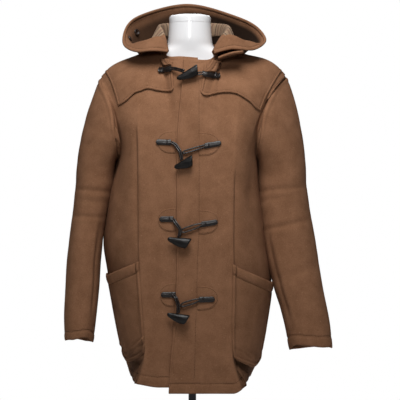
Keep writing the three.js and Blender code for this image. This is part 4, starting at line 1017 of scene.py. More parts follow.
def insetLine(grid, normals, inset, edges, lift=0.1):
    # a line kept at one distance inside chosen edges of a grid: "start", "low", "end", "high"
    away = edgeDistances(grid)
    rows, columns = grid.shape[:2]
    raised = grid + normals * lift
    path = []
    for edge in [e for e in ("start", "low", "end", "high") if e in edges]:
        upright = edge in ("start", "end")
        crossing = [o for o in (("low", "high") if upright else ("start", "end")) if o in edges]
        order = range(rows) if upright else range(columns)
        if edge in ("start", "high"):
            order = reversed(order)
        for k in order:
            field = away[edge][k] if upright else away[edge][:, k]
            steps = np.arange(len(field))
            if edge in ("end", "high"):
                field, steps = field[::-1], steps[::-1]
            at = np.interp(inset, field, steps)
            i, j = (at, k) if upright else (k, at)
            near = (int(round(j)), int(round(i)))
            if all(away[o][near] >= inset for o in crossing):
                path.append(sample(raised, np.array(i / (columns - 1)), np.array(j / (rows - 1))))
    return path


for side in ("left", "right"):
    grid = gridOf(yokeFront(side), 140, 80)
    normals = gridNormals(grid, outwards[side])
    v = np.linspace(0, 1, grid.shape[0])[:, None]
    normals[..., 1] *= 1 - smooth((v - 0.95) / 0.05)
    normals = unit(normals)
    push = hemmed(nearest(edgeDistances(grid), ("start", "low", "end")), yoke["stitchInset"], 0.9, 0.9)
    grid = grid + normals * push[..., None]
    shell("yoke" + side.capitalize(), grid, normals, yoke["thickness"], melton, "yoke_" + side)
    stitchAlong(insetLine(grid, normals, yoke["stitchInset"], ("start", "low", "end")))


def yokeBackSurface(s, t):
    u = mix(0.185, 0.815, s)
    low = 0.81 + 0.02 * np.sin(math.pi * s)
    points, normals = panels["back"]
    v = mix(low, 0.999, t)
    flare = 2.0 * (1 - t) ** 4
    lift = yoke["lift"] + yoke["thickness"] + flare
    return sample(points, u, v) + unit(sample(normals, u, v)) * lift[..., None]


grid = gridOf(yokeBackSurface, 130, 40)
normals = gridNormals(grid, -1)
v = np.linspace(0, 1, grid.shape[0])[:, None]
u = np.linspace(0, 1, grid.shape[1])[None, :]
normals[..., 1] *= 1 - smooth((v - 0.95) / 0.05) * (np.minimum(u, 1 - u) < 0.26)
normals = unit(normals)
shell("yokeBack", grid, normals, yoke["thickness"], melton, "yoke_back")
stitchAlong(insetLine(grid, normals, yoke["stitchInset"], ("start", "low", "end")))
print("yokes made")

# hood
# lines round the lying hood, from the right front end over the back to the left one
hoodRows = {
    "roll": [(-59, -94, 1214), (-67, -72, 1249), (-77, -42, 1273), (-84, -10, 1288), (-80, 40, 1298),
             (-60, 70, 1303), (-6, 90, 1306), (50, 70, 1303), (74, 40, 1298), (93, -10, 1288),
             (90, -42, 1273), (70, -76, 1249), (50, -96, 1212)],
    "hollow": [(-59, -96, 1216), (-76, -82, 1250), (-101, -54, 1246), (-122, -8, 1236), (-128, 68, 1214),
               (-102, 130, 1186), (-8, 178, 1150), (88, 130, 1186), (122, 68, 1214), (124, -8, 1236),
               (104, -54, 1247), (80, -84, 1252), (52, -98, 1214)],
    "crest": [(-60, -98, 1217), (-84, -92, 1249), (-120, -76, 1243), (-158, -26, 1240), (-166, 56, 1280),
              (-134, 122, 1308), (-12, 194, 1334), (111, 128, 1305), (164, 60, 1275), (176, -13, 1243),
              (138, -66, 1243), (92, -94, 1254), (54, -100, 1216)],
    "rim": [(-62, -103, 1211), (-102, -108, 1213), (-145, -85, 1213), (-177, -40, 1236), (-169, 50, 1299),
            (-132, 110, 1333), (-13, 182, 1370), (111, 116, 1330), (167, 55, 1295), (191, -12, 1251),
            (158, -74, 1219), (100, -108, 1217), (56, -104, 1207)],
}
hoodLines = {name: curveThrough(points) for name, points in hoodRows.items()}
hoodLook = {
    "thickness": 3.0, "rimStitch": 9.0, "across": 200, "along": 80, "liningThickness": 1.0, "liningLift": 1.1,
    # painted shade deep inside the hood, at the right and at the left: tone, where it starts, its fall
    "deepestPaintedShade": (0.28, 0.07), "shadeStart": (15, 12), "shadeReach": (34, 14),
    # soft folds from the neck out to the rim, none near the two front ends: place, depth, width, lean
    "folds": [(0.2, 3.0, 0.018, 0.04), (0.31, -2.5, 0.022, -0.05), (0.42, 3.0, 0.02, 0.03),
              (0.5, -1.5, 0.012, 0), (0.6, 2.6, 0.022, 0.05), (0.72, -2.4, 0.02, -0.04),
              (0.8, 2.5, 0.018, 0.03)],
}


def neckSeam(u):
    right = neckline["right"](mix(0.55, 1, np.clip(u / 0.25, 0, 1)))
    back = neckline["back"](np.clip((u - 0.25) / 0.5, 0, 1))
    left = neckline["left"](mix(1, 0.55, np.clip((u - 0.75) / 0.25, 0, 1)))
    seam = np.where((u < 0.25)[:, None], right, np.where((u <= 0.75)[:, None], back, left))
    return seam + vectors(0, 0, 0.4)


def hoodSurface(u, v):
    lines = [neckSeam(u)] + [hoodLines[name](u) for name in ("roll", "hollow", "crest", "rim")]
    lines = np.stack(lines)
    padded = np.concatenate([2 * lines[:1] - lines[1:2], lines, 2 * lines[-1:] - lines[-2:-1]])
    i = np.clip(np.floor(v * 4).astype(int), 0, 3)
    n = np.arange(len(u))
    return centripetal(padded[i, n], padded[i + 1, n], padded[i + 2, n], padded[i + 3, n], v * 4 - i)


grid = gridOf(hoodSurface, hoodLook["across"], hoodLook["along"])
normals = gridNormals(grid, 1)
u = np.linspace(0, 1, grid.shape[1])[None, :]
v = np.linspace(0, 1, grid.shape[0])[:, None]
hoodFolds = np.zeros_like(grid[..., 0])
fade = np.sin(math.pi * np.clip((v - 0.15) / 0.75, 0, 1)) ** 1.5
for place, deep, wide, lean in hoodLook["folds"]:
    hoodFolds += deep * bump(u - place - lean * (v - 0.5), wide) * fade
grid = grid + normals * hoodFolds[..., None]
normals = gridNormals(grid, 1)
hoodGrid = (grid, normals)
# the rim is turned over once, so it is thicker outside its stitching
fromRim = edgeDistances(grid)["high"]
hem = hemmed(fromRim, hoodLook["rimStitch"], 1.1, 1.0)
hemmedGrid = grid + normals * hem[..., None]
thickness = hoodLook["thickness"] + 2 * hem
# painted shade: deep inside, the hood's colour is darkened where it lies in shadow
inside = smooth((u - 0.2) / 0.07) * smooth((0.8 - u) / 0.07)
leftness = smooth((u - 0.36) / 0.2)
deepestPaintedShade = mix(*hoodLook["deepestPaintedShade"], leftness)
fromStart = fromRim - mix(*hoodLook["shadeStart"], leftness)
deep = mix(1.0, deepestPaintedShade, smooth(fromStart / mix(*hoodLook["shadeReach"], leftness)))
shade = mix(1.0, deep, inside)
shell("hoodCloth", hemmedGrid, normals, thickness, melton, "hood", rim=0.4, shade=shade)
at = rowsFrom(grid, hoodLook["rimStitch"], 4, -4)
stitchAlong(hemmedGrid[at] + normals[at] * 0.1)
stitchAlong(hemmedGrid[at] - normals[at] * (thickness[at] + 0.1)[:, None])
# a stitched seam down the middle of the hood's outside
middle = grid.shape[1] // 2
for column in (middle - 2, middle + 2):
    stitchAlong(grid[6:-8, column] - normals[6:-8, column] * (hoodLook["thickness"] + 0.2))


def liningSurface(s, t):
    # the part of the hood that the lining covers
    u = mix(4 / 36, 1 - 4 / 36, s)
    v = mix(1 / 12, 7 / 12, t)
    return sample(hoodGrid[0], u, v) + unit(sample(hoodGrid[1], u, v)) * hoodLook["liningLift"]


grid = gridOf(liningSurface, 150, 44)
normals = gridNormals(grid, 1)
shell("hoodLining", grid, normals, hoodLook["liningThickness"], lining, "hood_lining")
print("hood made")

# pockets
# the mouth's and the bottom's height along each pocket's width
pocketTables = {
    "left": named("share top bottom", [
        (0, 674, 440), (0.2, 656, 424), (0.5, 636, 411), (0.8, 622, 411), (1, 622, 424)]),
    "right": named("share top bottom", [
        (0, 681, 452), (0.2, 668, 436), (0.5, 652, 424), (0.8, 642, 422), (1, 646, 432)]),
}
# crumple sets how deep each pocket's bottom is crumpled and how much shade is painted there
pocket = {"inner": 0.51, "outer": 0.93, "lift": 0.4, "mouthOpen": 15.0, "thickness": 3.0, "band": 25.0,
          "edge": 11.0, "crumple": {"right": 3.2, "left": 0.8}}
for side in ("left", "right"):
    top, bottom = (track(pocketTables[side], "share", name) for name in ("top", "bottom"))
    points = panels[side][0]

    def pocketSurface(s, t):
        u = mix(pocket["inner"], pocket["outer"], s)
        z = mix(bottom(s), top(s), t)
        low = sample(points, u, np.zeros_like(u), frontColumns, frontRows)[:, 2]
        rise = sample(points, u, np.full_like(u, 0.1), frontColumns, frontRows)[:, 2] - low
        middle = np.sin(math.pi * np.clip(s, 0, 1)) ** 0.7
        bulge = 2.5 * middle * np.sin(math.pi * np.clip(t, 0, 1)) + pocket["mouthOpen"] * middle * t ** 3
        bulge = bulge + 1.5 * bump(s - 0.3 - 0.3 * t, 0.08) * np.sin(math.pi * t)
        return lifted(side, u, (z - low) * 0.1 / rise, pocket["lift"] + pocket["thickness"] + bulge)

    grid = gridOf(pocketSurface, 90, 120)
    normals = gridNormals(grid, outwards[side])
    away = edgeDistances(grid)
    push = hemmed(nearest(away, ("start", "low", "end")), pocket["edge"], 2.4, 1.6)
    push += hemmed(away["high"], pocket["band"], 2.2, 1.2)
    # the sagging bottom is crumpled, most at the right pocket, and painted shade darkens its colour there
    s, t = np.linspace(0, 1, grid.shape[1])[None, :], np.linspace(0, 1, grid.shape[0])[:, None]
    crumple = pocket["crumple"][side] * (1 - 0.4 * s)
    push -= crumple * (bump(t - 0.10 - 0.03 * np.sin(9 * s), 0.022) + 0.7 * bump(t - 0.19 + 0.10 * s, 0.02))
    push += 0.6 * crumple * bump(t - 0.145 - 0.02 * np.sin(12 * s + 1), 0.02)
    # painted shade in the crumpled bottom
    shade = 1 - 0.14 * crumple * smooth((0.2 - t) / 0.16) * smooth((0.8 - s) / 0.5)
    grid = grid + normals * push[..., None]
    shell("pocket" + side.capitalize(), grid, normals, pocket["thickness"], melton, "pocket_" + side,
          shade=shade)
    stitchAlong(insetLine(grid, normals, pocket["edge"], ("start", "low", "end")))
    at = rowsFrom(grid, pocket["band"], 1, -1)
    stitchAlong(grid[at] + normals[at] * 0.2)
print("pockets made")

# patches, leather pieces, cords and toggles
patch = {"lift": 0.15, "thickness": 1.0, "inset": 2.6}
# each patch: name, x at the inner and outer end, middle height and size upwards
patchRows = [("2_left", 18, 68, 975, 58), ("2_right", -42, -86, 980, 56), ("3_left", 18, 66, 780, 60),
             ("3_right", -42, -85, 785, 58), ("4_left", 15, 64, 590, 60), ("4_right", -43, -80, 597, 58)]


def patchName(name):
    return "patch" + name.title().replace("_", "")


for name, start, end, middleZ, high in patchRows:
    side = "left" if start > 0 else "right"
    s, t = np.meshgrid(np.linspace(0, 1, 25), np.linspace(0, 1, 21))
    tall = high * np.sqrt(1 - np.minimum(0.97, s ** 3))
    grid = onFront(side, mix(start, end, s), middleZ + (t - 0.5) * tall, patch["lift"] + patch["thickness"])
    normals = gridNormals(grid, outwards[side])
    shell(patchName(name), grid, normals, patch["thickness"], melton, "patch_" + name, rim=0.5)
    stitchAlong(insetLine(grid, normals, patch["inset"], ("low", "end", "high")))

strap = {"width": 13.0, "thickness": 2.2, "lift": 0.3, "stitchInset": 2.2}
# each strap: name, its sewn and loose end seen from the front, and the height of what lies under it
strapRows = [("1_right", (-88, 1160), (-50, 1165), 7.4), ("1_left", (71, 1145), (26, 1151), 7.4),
             ("2_right", (-91, 980), (-53, 979), 1.5), ("2_left", (73, 977), (32, 970), 1.5),
             ("3_right", (-82, 787), (-47, 787), 1.5), ("3_left", (64, 780), (24, 774), 1.5),
             ("4_right", (-78, 598), (-41, 598), 1.5), ("4_left", (57, 587), (18, 586), 1.5)]
for name, sewn, loose, under in strapRows:
    side = "left" if sewn[0] > 0 else "right"
    s, t = np.meshgrid(np.linspace(0, 1, 41), np.linspace(-1, 1, 11))
    # the sewn end is rounded, and the cord's end is folded over the cord
    half = strap["width"] / 2 * np.sqrt(np.clip(1 - (np.maximum(0, 0.16 - s) / 0.165) ** 2, 0.05, 1))
    half = half * (1 + 0.06 * smooth((s - 0.7) / 0.05))
    dome = 1.3 * (1 - t ** 2) + 1.0 * smooth((s - 0.72) / 0.06) * (1 - 0.4 * t ** 2)
    grid = onFront(side, mix(sewn[0], loose[0], s), mix(sewn[1], loose[1], s) + t * half,
                   under + strap["lift"] + strap["thickness"] + dome)
    normals = gridNormals(grid, -outwards[side])
    shell("leather_" + name, grid, normals, strap["thickness"], leather, "strap_" + name, rim=0.4)
    stitchAlong(insetLine(grid, normals, strap["stitchInset"], ("start", "low", "high"), 0.15))
print("patches and straps made")

# each toggle: name, its slim and thick end seen from the front, radius, slant of its cut end, and lift
toggleRows = [("1", (-37, 1134), (12, 1156), 13.0, 0.35, 21.0), ("2", (-44, 916), (0, 934), 13.0, 0.35, 15.0),
              ("3", (-61, 739), (-9, 727), 13.5, 0.35, 15.0), ("4", (-62, 551), (-12, 537), 13.0, 0.3, 15.0)]
toggle = {"flatness": 0.62, "sag": 1.8, "rings": 56, "sides": 48, "cutRim": 0.14, "cutDome": 0.9}
toggleWidth = named("along radius", [
    (0, 0.02), (0.02, 0.26), (0.08, 0.4), (0.35, 0.68), (0.7, 0.93), (0.95, 1), (1, 0.94)])


def sideAt(x, z):
    return "left" if x > leftEdge(z) else "right"


def pointOnFront(x, z, lift):
    return onFront(sideAt(x, z), x, z, lift).reshape(3)


toggleEnds = {}
for name, slim, thick, radius, slant, lift in toggleRows:
    start, end = pointOnFront(*slim, lift), pointOnFront(*thick, lift)
    length = np.linalg.norm(end - start)
    axis = unit(end - start)
    upward = unit(np.array([-axis[2], 0, axis[0]]))
    outward = np.cross(upward, axis)
    toggleEnds[name] = (start, end, upward, radius)
    rings, sides = toggle["rings"], toggle["sides"]
    points = []
    for j in range(rings + 1):
        along = (j / rings) ** 0.9
        wide = radius * float(np.interp(along, toggleWidth["along"], toggleWidth["radius"]))
        for i in range(sides):
            a = 2 * math.pi * i / sides
            # carved facets and shallow scars along the horn
            facet = 1 - 0.045 * math.cos(3 * a + 0.7) - 0.02 * math.cos(7 * a + 9 * along)
            x, y = wide * facet * math.cos(a), wide * facet * math.sin(a) * toggle["flatness"]
            lean = slant * along ** 3 * x
            sag = toggle["sag"] * math.sin(math.pi * along)
            points.append(start + axis * (along * length + lean) + upward * (x - sag) + outward * y)
    # the cut end is flat with a worn rim
    slimEnd, thickEnd = np.mean(points[:sides], axis=0), np.mean(points[-sides:], axis=0)
    inner = [mix(p, thickEnd, toggle["cutRim"]) + axis * toggle["cutDome"] for p in points[-sides:]]
    points = np.array(points + inner + [slimEnd, np.mean(inner, axis=0)])
    probe = sides * 10
    way = points[probe] - points[probe:probe + sides].mean(axis=0)
    faces = turnedTowards(points, ringFaces(rings + 2, sides), probe, way)
    makePiece("toggle" + name, points, faces, horn, "toggle_" + name, None)
print("toggles made")

# pair is the distance between the two strands of a toggle's cord
cordLook = {"radius": 2.4, "loopRadius": 1.9, "sides": 12, "pair": 4.8}
cordPaths, cordRadii = {}, {}


def tube(name, path, radius, node):
    path = curveThrough(path)(np.linspace(0, 1, 14 * (len(path) - 1) + 1))
    cordPaths[name], cordRadii[name] = path, radius
    tangent = unit(np.gradient(path, axis=0))
    across = unit(np.cross(tangent, np.array([0, -1, 0.2])))
    upward = np.cross(across, tangent)
    sides = cordLook["sides"]
    points = []
    for j, middle in enumerate(path):
        for i in range(sides):
            a = 2 * math.pi * i / sides
            swell = 1 + 0.05 * math.sin(2 * a + j * 0.6)  # a rolled thong, not a perfect rod
            points.append(middle + (across[j] * math.cos(a) + upward[j] * math.sin(a)) * radius * swell)
    points = np.array(points + [path[0], path[-1]])
    faces = turnedTowards(points, ringFaces(len(path), sides), 0, points[0] - path[0])
    return makePiece(name, points, faces, leather, node, None)


# each cord: name, where along the toggle it is held, the gap over the horn, and its way from the strap
cordRows = [("1", 0.42, 1.4, [(-52, 1165, 10.6), (-42, 1162, 13)]),
            ("2", 0.5, 0.85, [(-53, 979, 4.5), (-43, 974, 7), (-29, 955, 10)]),
            ("3", 0.5, 0.85, [(-47, 787, 4.5), (-38, 778, 7), (-34, 760, 11)]),
            ("4", 0.5, 0.85, [(-46, 598, 5.5), (-39, 590, 7), (-36, 571, 11)])]
for name, hold, gap, points in cordRows:
    start, end, upward, radius = toggleEnds[name]
    held = mix(start, end, hold) + upward * (radius * 0.78 + gap - 1.5)
    line = [pointOnFront(*p) for p in points] + [held]
    way = unit(line[-1] - line[0])
    aside = unit(np.cross(way, np.array([0.0, -1.0, 0.0]))) * cordLook["pair"] / 2
    tube("cord" + name, [p + aside for p in line], cordLook["radius"], "cord_" + name)
    tube("cordTwin" + name, [p - aside for p in line], cordLook["radius"], None)
# each loop: name, where it leaves its strap, its far end, its spread and its lift
loopRows = [("1", (27, 1151), (-4, 1147), 6.0, 11.4), ("2", (33, 970.5), (-24, 953), 7.0, 5.0),
            ("3", (25, 774), (-27, 757), 11.0, 5.0), ("4", (19, 586), (-28, 572), 10.0, 5.0)]
for name, start, end, spread, lift in loopRows:
    path = []
    # out along one side, round the toggle's neck and back along the other
    half = [(0, 2.4 / spread), (0.3, 0.46), (0.6, 0.5), (0.9, 0.42)]
    for share, aside in half + [(1, 0)] + [(share, -aside) for share, aside in reversed(half)]:
        x, z = mix(start[0], end[0], share), mix(start[1], end[1], share)
        path.append(pointOnFront(x, z + aside * spread, lift))
    tube("loop" + name, path, cordLook["loopRadius"], "loop_" + name)
print("cords made")

# neck bands and throat tab
# the middle line of each band, seen from the front
bandRows = {"left": [(59, 1187), (52, 1172), (42, 1158)], "right": [(-66, 1192), (-63, 1184), (-58, 1176)]}
bandLook = {"width": {"left": 24, "right": 16}, "lift": {"left": 7.0, "right": 6.6}, "thickness": 2.5,
            "stitchInset": 3.5}
for side in ("left", "right"):
    line = curveThrough([(x, 0, z) for x, z in bandRows[side]])
    s, t = np.meshgrid(np.linspace(0, 1, 25), np.linspace(0, 1, 17))
    middleLine = line(s.ravel()).reshape(*s.shape, 3)
    x = middleLine[..., 0] + outwards[side] * (t - 0.5) * bandLook["width"][side]
    ridge = 1.2 * np.sin(math.pi * 2 * t) ** 2
    grid = onFront(side, x, middleLine[..., 2], bandLook["lift"][side] + bandLook["thickness"] + ridge)
    normals = gridNormals(grid, outwards[side])
    shell("neckBand" + side.capitalize(), grid, normals, bandLook["thickness"], melton, "neck_band_" + side,
          rim=0.4)
    stitchAlong(insetLine(grid, normals, bandLook["stitchInset"], ("low", "high")))

tabLook = {"depth": 26.5, "thickness": 6.0, "stitchInset": 4.0}
tabLine = curveThrough([(66, -125, 1196), (82, -125, 1201), (104, -124, 1208.5), (129, -122, 1214)])
s, t = np.meshgrid(np.linspace(0, 1, 41), np.linspace(0, 1, 17))
grid = tabLine(s.ravel()).reshape(*s.shape, 3)
bend = 1.4 * np.sin(math.pi * 1.4 * s)
roundEnd = tabLook["depth"] / 2 * (1 - np.sqrt(np.clip(1 - (np.maximum(0, s - 0.82) / 0.19) ** 2, 0, 1)))
grid[..., 1] += roundEnd + t * (tabLook["depth"] - 2 * roundEnd)
grid[..., 2] += bend
normals = gridNormals(grid, 1)
shell("throatTab", grid, normals, tabLook["thickness"], melton, "throat_tab", rim=0.4)
stitchAlong(insetLine(grid, normals, tabLook["stitchInset"], ("low", "end", "high")))
print("neck pieces made")

# buttons inside the hood
# each button: name, place on the hood, lift, and how far it tips towards the front
buttonRows = [("1", 0.38, 0.71, 2.6, 0.8), ("2", 0.3, 0.72, 1.9, 0.0)]
buttonLook = {
    "holeRadius": 1.1, "holeSpread": 2.0,
    "profile": [(0.0, 1.9), (1.0, 1.9), (4.6, 2.0), (5.4, 2.5), (6.6, 3.0), (7.8, 2.9), (8.5, 2.1),
                (8.5, 1.0), (7.8, 0.2), (6.5, 0), (0.0, 0)],
}


def fourHoleButton(name, u, v, lift, tip):
    # a dished disc with four holes cut through its middle
    centre = sample(hoodGrid[0], np.array([u]), np.array([v]))[0]
    normal = unit(sample(hoodGrid[1], np.array([u]), np.array([v])))[0]
    normal = unit(normal + np.array([0.0, -tip, 0.0]))
    piece = lathe("hoodButton" + name, buttonLook["profile"], 40, (0, 0), buttonHorn, "hood_button_" + name)
    spread = buttonLook["holeSpread"]
    cutters = []
    for i in range(4):
        a = math.pi / 4 + i * math.pi / 2
        bpy.ops.mesh.primitive_cylinder_add(
            vertices=14, radius=buttonLook["holeRadius"] * mm, depth=0.01,
            location=(spread * math.cos(a) * mm, spread * math.sin(a) * mm, 0))
        cutters.append(bpy.context.object)
    for cutter in cutters:
        hole = piece.modifiers.new("hole", "BOOLEAN")
        hole.operation = "DIFFERENCE"
        hole.object = cutter
    graph = bpy.context.evaluated_depsgraph_get()
    mesh = bpy.data.meshes.new_from_object(piece.evaluated_get(graph))
    piece.modifiers.clear()
    piece.data = mesh
    for cutter in cutters:
        bpy.data.objects.remove(cutter)
    turn = Vector((0, 0, 1)).rotation_difference(Vector(normal.tolist())).to_matrix().to_4x4()
    place = Matrix.Translation(Vector(((centre + normal * lift) * mm).tolist()))
    piece.data.transform(place @ turn)
    return piece


for row in buttonRows:
    fourHoleButton(*row)
print("buttons made")

# torso form, cap, pole and foot
# half the form's width and depth at each height, and how far its middle lies back
formTable = named("z wide deep y", [
    (700, 120, 78, 5), (760, 150, 96, 2), (880, 146, 100, 0), (980, 152, 108, -4), (1060, 158, 104, -2),
    (1120, 160, 88, 4), (1160, 154, 68, 11), (1190, 122, 57, 11), (1215, 94, 55, 8), (1232, 64, 54, 4),
    (1250, 58, 55, 2), (1294, 54.5, 54, 0)])
formWide, formDeep, formY = (track(formTable, "z", name) for name in ("wide", "deep", "y"))
neckCentreX = -6.0


def makeForm():
    sides = 96
    low, high = [700, 700.6, 702.5, 706], [1293.8, 1294.38, 1294.38]
    heights = np.concatenate([low, np.linspace(712, 1290, 110), high])
    shrink = np.concatenate([[0.9, 0.93, 0.96, 0.985], np.ones(112), [0.985]])
    angle = np.arange(sides) * 2 * math.pi / sides
    points = []
    for z, share in zip(heights, shrink):
        x = neckCentreX + share * formWide(z) * np.cos(angle)
        y = formY(z) + share * formDeep(z) * np.sin(angle)
        points.append(vectors(x, y, z))
    faces = ringFaces(len(points), sides)
    points = np.vstack(points + [[neckCentreX, 5, 700], [neckCentreX, 0, 1294]])
    return makePiece("torsoForm", points, faces, formShell, "torso_form", None)


makeForm()
# radius and height along each turned piece
capProfile = [(0, 1294.4), (53.8, 1294.4), (54.5, 1294.4), (54.5, 1294.9), (54.5, 1300), (54.5, 1306),
              (54.1, 1309), (53.0, 1311.3), (51.0, 1313.0), (48.0, 1313.8), (44, 1314), (20, 1314), (0, 1314)]
lathe("neckCap", capProfile, 96, (neckCentreX, 0), formShell, "neck_cap")
poleProfile = [(0, 12.3), (9.4, 12.3), (10, 13), (10, 640), (10.6, 641), (10.6, 660), (10, 661), (10, 698.8),
               (9.4, 699.6), (0, 699.6)]
lathe("standPole", poleProfile, 48, (0, 0), darkMetal, "pole")
footProfile = [(0, 0), (148.5, 0), (150, 1), (150, 4), (149, 5.6), (147, 7), (120, 8.6), (60, 11.2), (40, 12),
               (20, 12), (0, 12)]
lathe("standFoot", footProfile, 96, (0, 0), darkMetal, "foot")
print("form and stand made")


# stitches
stitchSizes = {"Pitch": 0.0040, "Stitch Length": 0.0030, "Stitch Radius": 0.00042, "Seed": 7}


def stitchTree():
    tree = bpy.data.node_groups.new("stitchRow", "GeometryNodeTree")
    face = tree.interface
    face.new_socket("Geometry", in_out="INPUT", socket_type="NodeSocketGeometry")
    for label in ("Pitch", "Stitch Length", "Stitch Radius"):
        face.new_socket(label, in_out="INPUT", socket_type="NodeSocketFloat")
    face.new_socket("Seed", in_out="INPUT", socket_type="NodeSocketInt")
    face.new_socket("Thread", in_out="INPUT", socket_type="NodeSocketMaterial")
    face.new_socket("Geometry", in_out="OUTPUT", socket_type="NodeSocketGeometry")
    link = tree.links.new
    start, finish = tree.nodes.new("NodeGroupInput"), tree.nodes.new("NodeGroupOutput")
    line = tree.nodes.new("GeometryNodeMeshToCurve")
    dotted = addNode(tree, "GeometryNodeResampleCurve", mode="LENGTH")
    link(start.outputs["Geometry"], line.inputs["Mesh"])
    link(line.outputs["Curve"], dotted.inputs["Curve"])
    link(start.outputs["Pitch"], dotted.inputs["Length"])
    bead = addNode(tree, "GeometryNodeMeshUVSphere", {"Segments": 6, "Rings": 4, "Radius": 1.0})
    half = addNode(tree, "ShaderNodeMath", operation="MULTIPLY")
    half.inputs[1].default_value = 0.5
    link(start.outputs["Stitch Length"], half.inputs[0])
    size = tree.nodes.new("ShaderNodeCombineXYZ")
    link(start.outputs["Stitch Radius"], size.inputs["X"])
    link(start.outputs["Stitch Radius"], size.inputs["Y"])
    link(half.outputs["Value"], size.inputs["Z"])
    shaped = tree.nodes.new("GeometryNodeTransform")
    link(bead.outputs["Mesh"], shaped.inputs["Geometry"])
    link(size.outputs["Vector"], shaped.inputs["Scale"])
    tangent = tree.nodes.new("GeometryNodeInputTangent")
    turn = addNode(tree, "FunctionNodeAlignRotationToVector", axis="Z")
    link(tangent.outputs["Tangent"], turn.inputs["Vector"])
    # no two stitches are quite the same size
    vary = addNode(tree, "FunctionNodeRandomValue", data_type="FLOAT")
    vary.inputs[2].default_value = 0.85
    vary.inputs[3].default_value = 1.1
    link(start.outputs["Seed"], vary.inputs["Seed"])
    placed = tree.nodes.new("GeometryNodeInstanceOnPoints")
    link(dotted.outputs["Curve"], placed.inputs["Points"])
    link(shaped.outputs["Geometry"], placed.inputs["Instance"])
    link(turn.outputs["Rotation"], placed.inputs["Rotation"])
    link(vary.outputs[1], placed.inputs["Scale"])
    real = tree.nodes.new("GeometryNodeRealizeInstances")
    coloured = tree.nodes.new("GeometryNodeSetMaterial")
    link(placed.outputs["Instances"], real.inputs["Geometry"])
    link(real.outputs["Geometry"], coloured.inputs["Geometry"])
    link(start.outputs["Thread"], coloured.inputs["Material"])
    link(coloured.outputs["Geometry"], finish.inputs["Geometry"])
    return tree


def sewStitches(name, lines, tree):
    points, edges = [], []
    for line, closed in lines:
        first = len(points)
        points += (line * mm).tolist()
        edges += [(i, i + 1) for i in range(first, len(points) - 1)]
        if closed:
            edges.append((len(points) - 1, first))
    mesh = bpy.data.meshes.new(name + "Lines")
    mesh.from_pydata(points, edges, [])
    guide = bpy.data.objects.new(name + "Lines", mesh)
    bpy.context.collection.objects.link(guide)
    modifier = guide.modifiers.new("stitches", "NODES")
    modifier.node_group = tree
    for item in tree.interface.items_tree:
        if item.in_out == "INPUT" and item.name in stitchSizes:
            modifier[item.identifier] = stitchSizes[item.name]
        elif item.in_out == "INPUT" and item.name == "Thread":
            modifier[item.identifier] = thread
    graph = bpy.context.evaluated_depsgraph_get()
    sewn = bpy.data.meshes.new_from_object(guide.evaluated_get(graph))
    bpy.data.objects.remove(guide)
    piece = bpy.data.objects.new(name, sewn)
    bpy.context.collection.objects.link(piece)
    sewn.polygons.foreach_set("use_smooth", [True] * len(sewn.polygons))
    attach(piece, "root")
    print(name, len(sewn.polygons), "faces")


sewStitches("seamStitches", stitchLines, stitchTree())


# light, floor and camera
def hangLamp(name, light, place, target):
    lamp = bpy.data.objects.new(name, light)
    bpy.context.collection.objects.link(lamp)
    lamp.location = place
    lamp.rotation_euler = (Vector(target) - Vector(place)).to_track_quat("-Z", "Y").to_euler()


def areaLight(name, place, target, size, power):
    light = bpy.data.lights.new(name, "AREA")
    light.shape = "DISK"
    light.size = size
    light.energy = power
    hangLamp(name, light, place, target)


def spotLight(name, place, target, angle, power):
    light = bpy.data.lights.new(name, "SPOT")
    light.spot_size = math.radians(angle)
    light.spot_blend = 1.0
    light.shadow_soft_size = 0.35
    light.energy = power
    hangLamp(name, light, place, target)


lighting = {"topPower": 36.0, "backPower": 30.0, "poolPower": 125.0, "skyAbove": 0.26, "skyBelow": 0.0}
areaLight("topSoft", (0.0, -1.15, 2.4), (0, 0, 1.0), 1.1, lighting["topPower"])
areaLight("backSoft", (0.0, 3.4, 2.3), (0, 0, 1.0), 1.6, lighting["backPower"])
spotLight("frontPool", (-0.2, -4.2, 1.5), (0.03, -0.1, 1.05), 17, lighting["poolPower"])

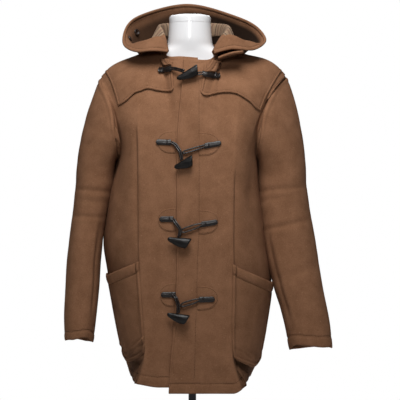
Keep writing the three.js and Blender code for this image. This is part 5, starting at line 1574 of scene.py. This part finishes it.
# the camera sees a white world, and the coat is lit by a sky that darkens downwards
world = bpy.data.worlds.new("studio")
bpy.context.scene.world = world
world.use_nodes = True
tree = world.node_tree
tree.nodes.clear()
link = tree.links.new
out = tree.nodes.new("ShaderNodeOutputWorld")
blend = tree.nodes.new("ShaderNodeMixShader")
ray = tree.nodes.new("ShaderNodeLightPath")
seen = addNode(tree, "ShaderNodeBackground", {"Color": (1, 1, 1, 1), "Strength": 1.0})
ambient = tree.nodes.new("ShaderNodeBackground")
where = tree.nodes.new("ShaderNodeTexCoord")
split = tree.nodes.new("ShaderNodeSeparateXYZ")
level = addNode(tree, "ShaderNodeMapRange", {
    "From Min": -0.1, "From Max": 0.8, "To Min": lighting["skyBelow"], "To Max": lighting["skyAbove"]})
link(where.outputs["Generated"], split.inputs["Vector"])
link(split.outputs["Z"], level.inputs["Value"])
link(level.outputs["Result"], ambient.inputs["Strength"])
link(ray.outputs["Is Camera Ray"], blend.inputs["Fac"])
link(ambient.outputs["Background"], blend.inputs[1])
link(seen.outputs["Background"], blend.inputs[2])
link(blend.outputs["Shader"], out.inputs["Surface"])

reach = 2.2  # of the floor, each way from the middle
floorMesh = bpy.data.meshes.new("studioFloor")
corners = [(-reach, -reach, 0), (reach, -reach, 0), (reach, reach, 0), (-reach, reach, 0)]
floorMesh.from_pydata(corners, [], [(0, 1, 2, 3)])
floor = bpy.data.objects.new("studioFloor", floorMesh)
bpy.context.collection.objects.link(floor)
paleMaterial, _, paleShader = nodesFor("paleFloor")
paleShader.inputs["Base Color"].default_value = (0.8, 0.8, 0.8, 1)
paleShader.inputs["Roughness"].default_value = 0.8
floorMesh.materials.append(paleMaterial)

view = {"place": (0.020, -3.750, 0.835), "lens": 129.6, "sensor": 36, "farthest": 50}
cameraData = bpy.data.cameras.new("camera")
cameraData.lens = view["lens"]
cameraData.sensor_width = view["sensor"]
cameraData.clip_end = view["farthest"]
camera = bpy.data.objects.new("camera", cameraData)
camera.location = view["place"]
camera.rotation_euler = (math.pi / 2, 0, 0)
bpy.context.collection.objects.link(camera)
bpy.context.scene.camera = camera
bpy.context.scene.view_settings.view_transform = "Standard"
print("light, floor and camera set")


for name, *_ in patchRows:
    under = "coatFrontLeft" if name.endswith("left") else "coatFrontRight"
for name, path in cordPaths.items():
    path = path * mm
    length = lengthOf(path)
    print("cord", name, round(length, 4))
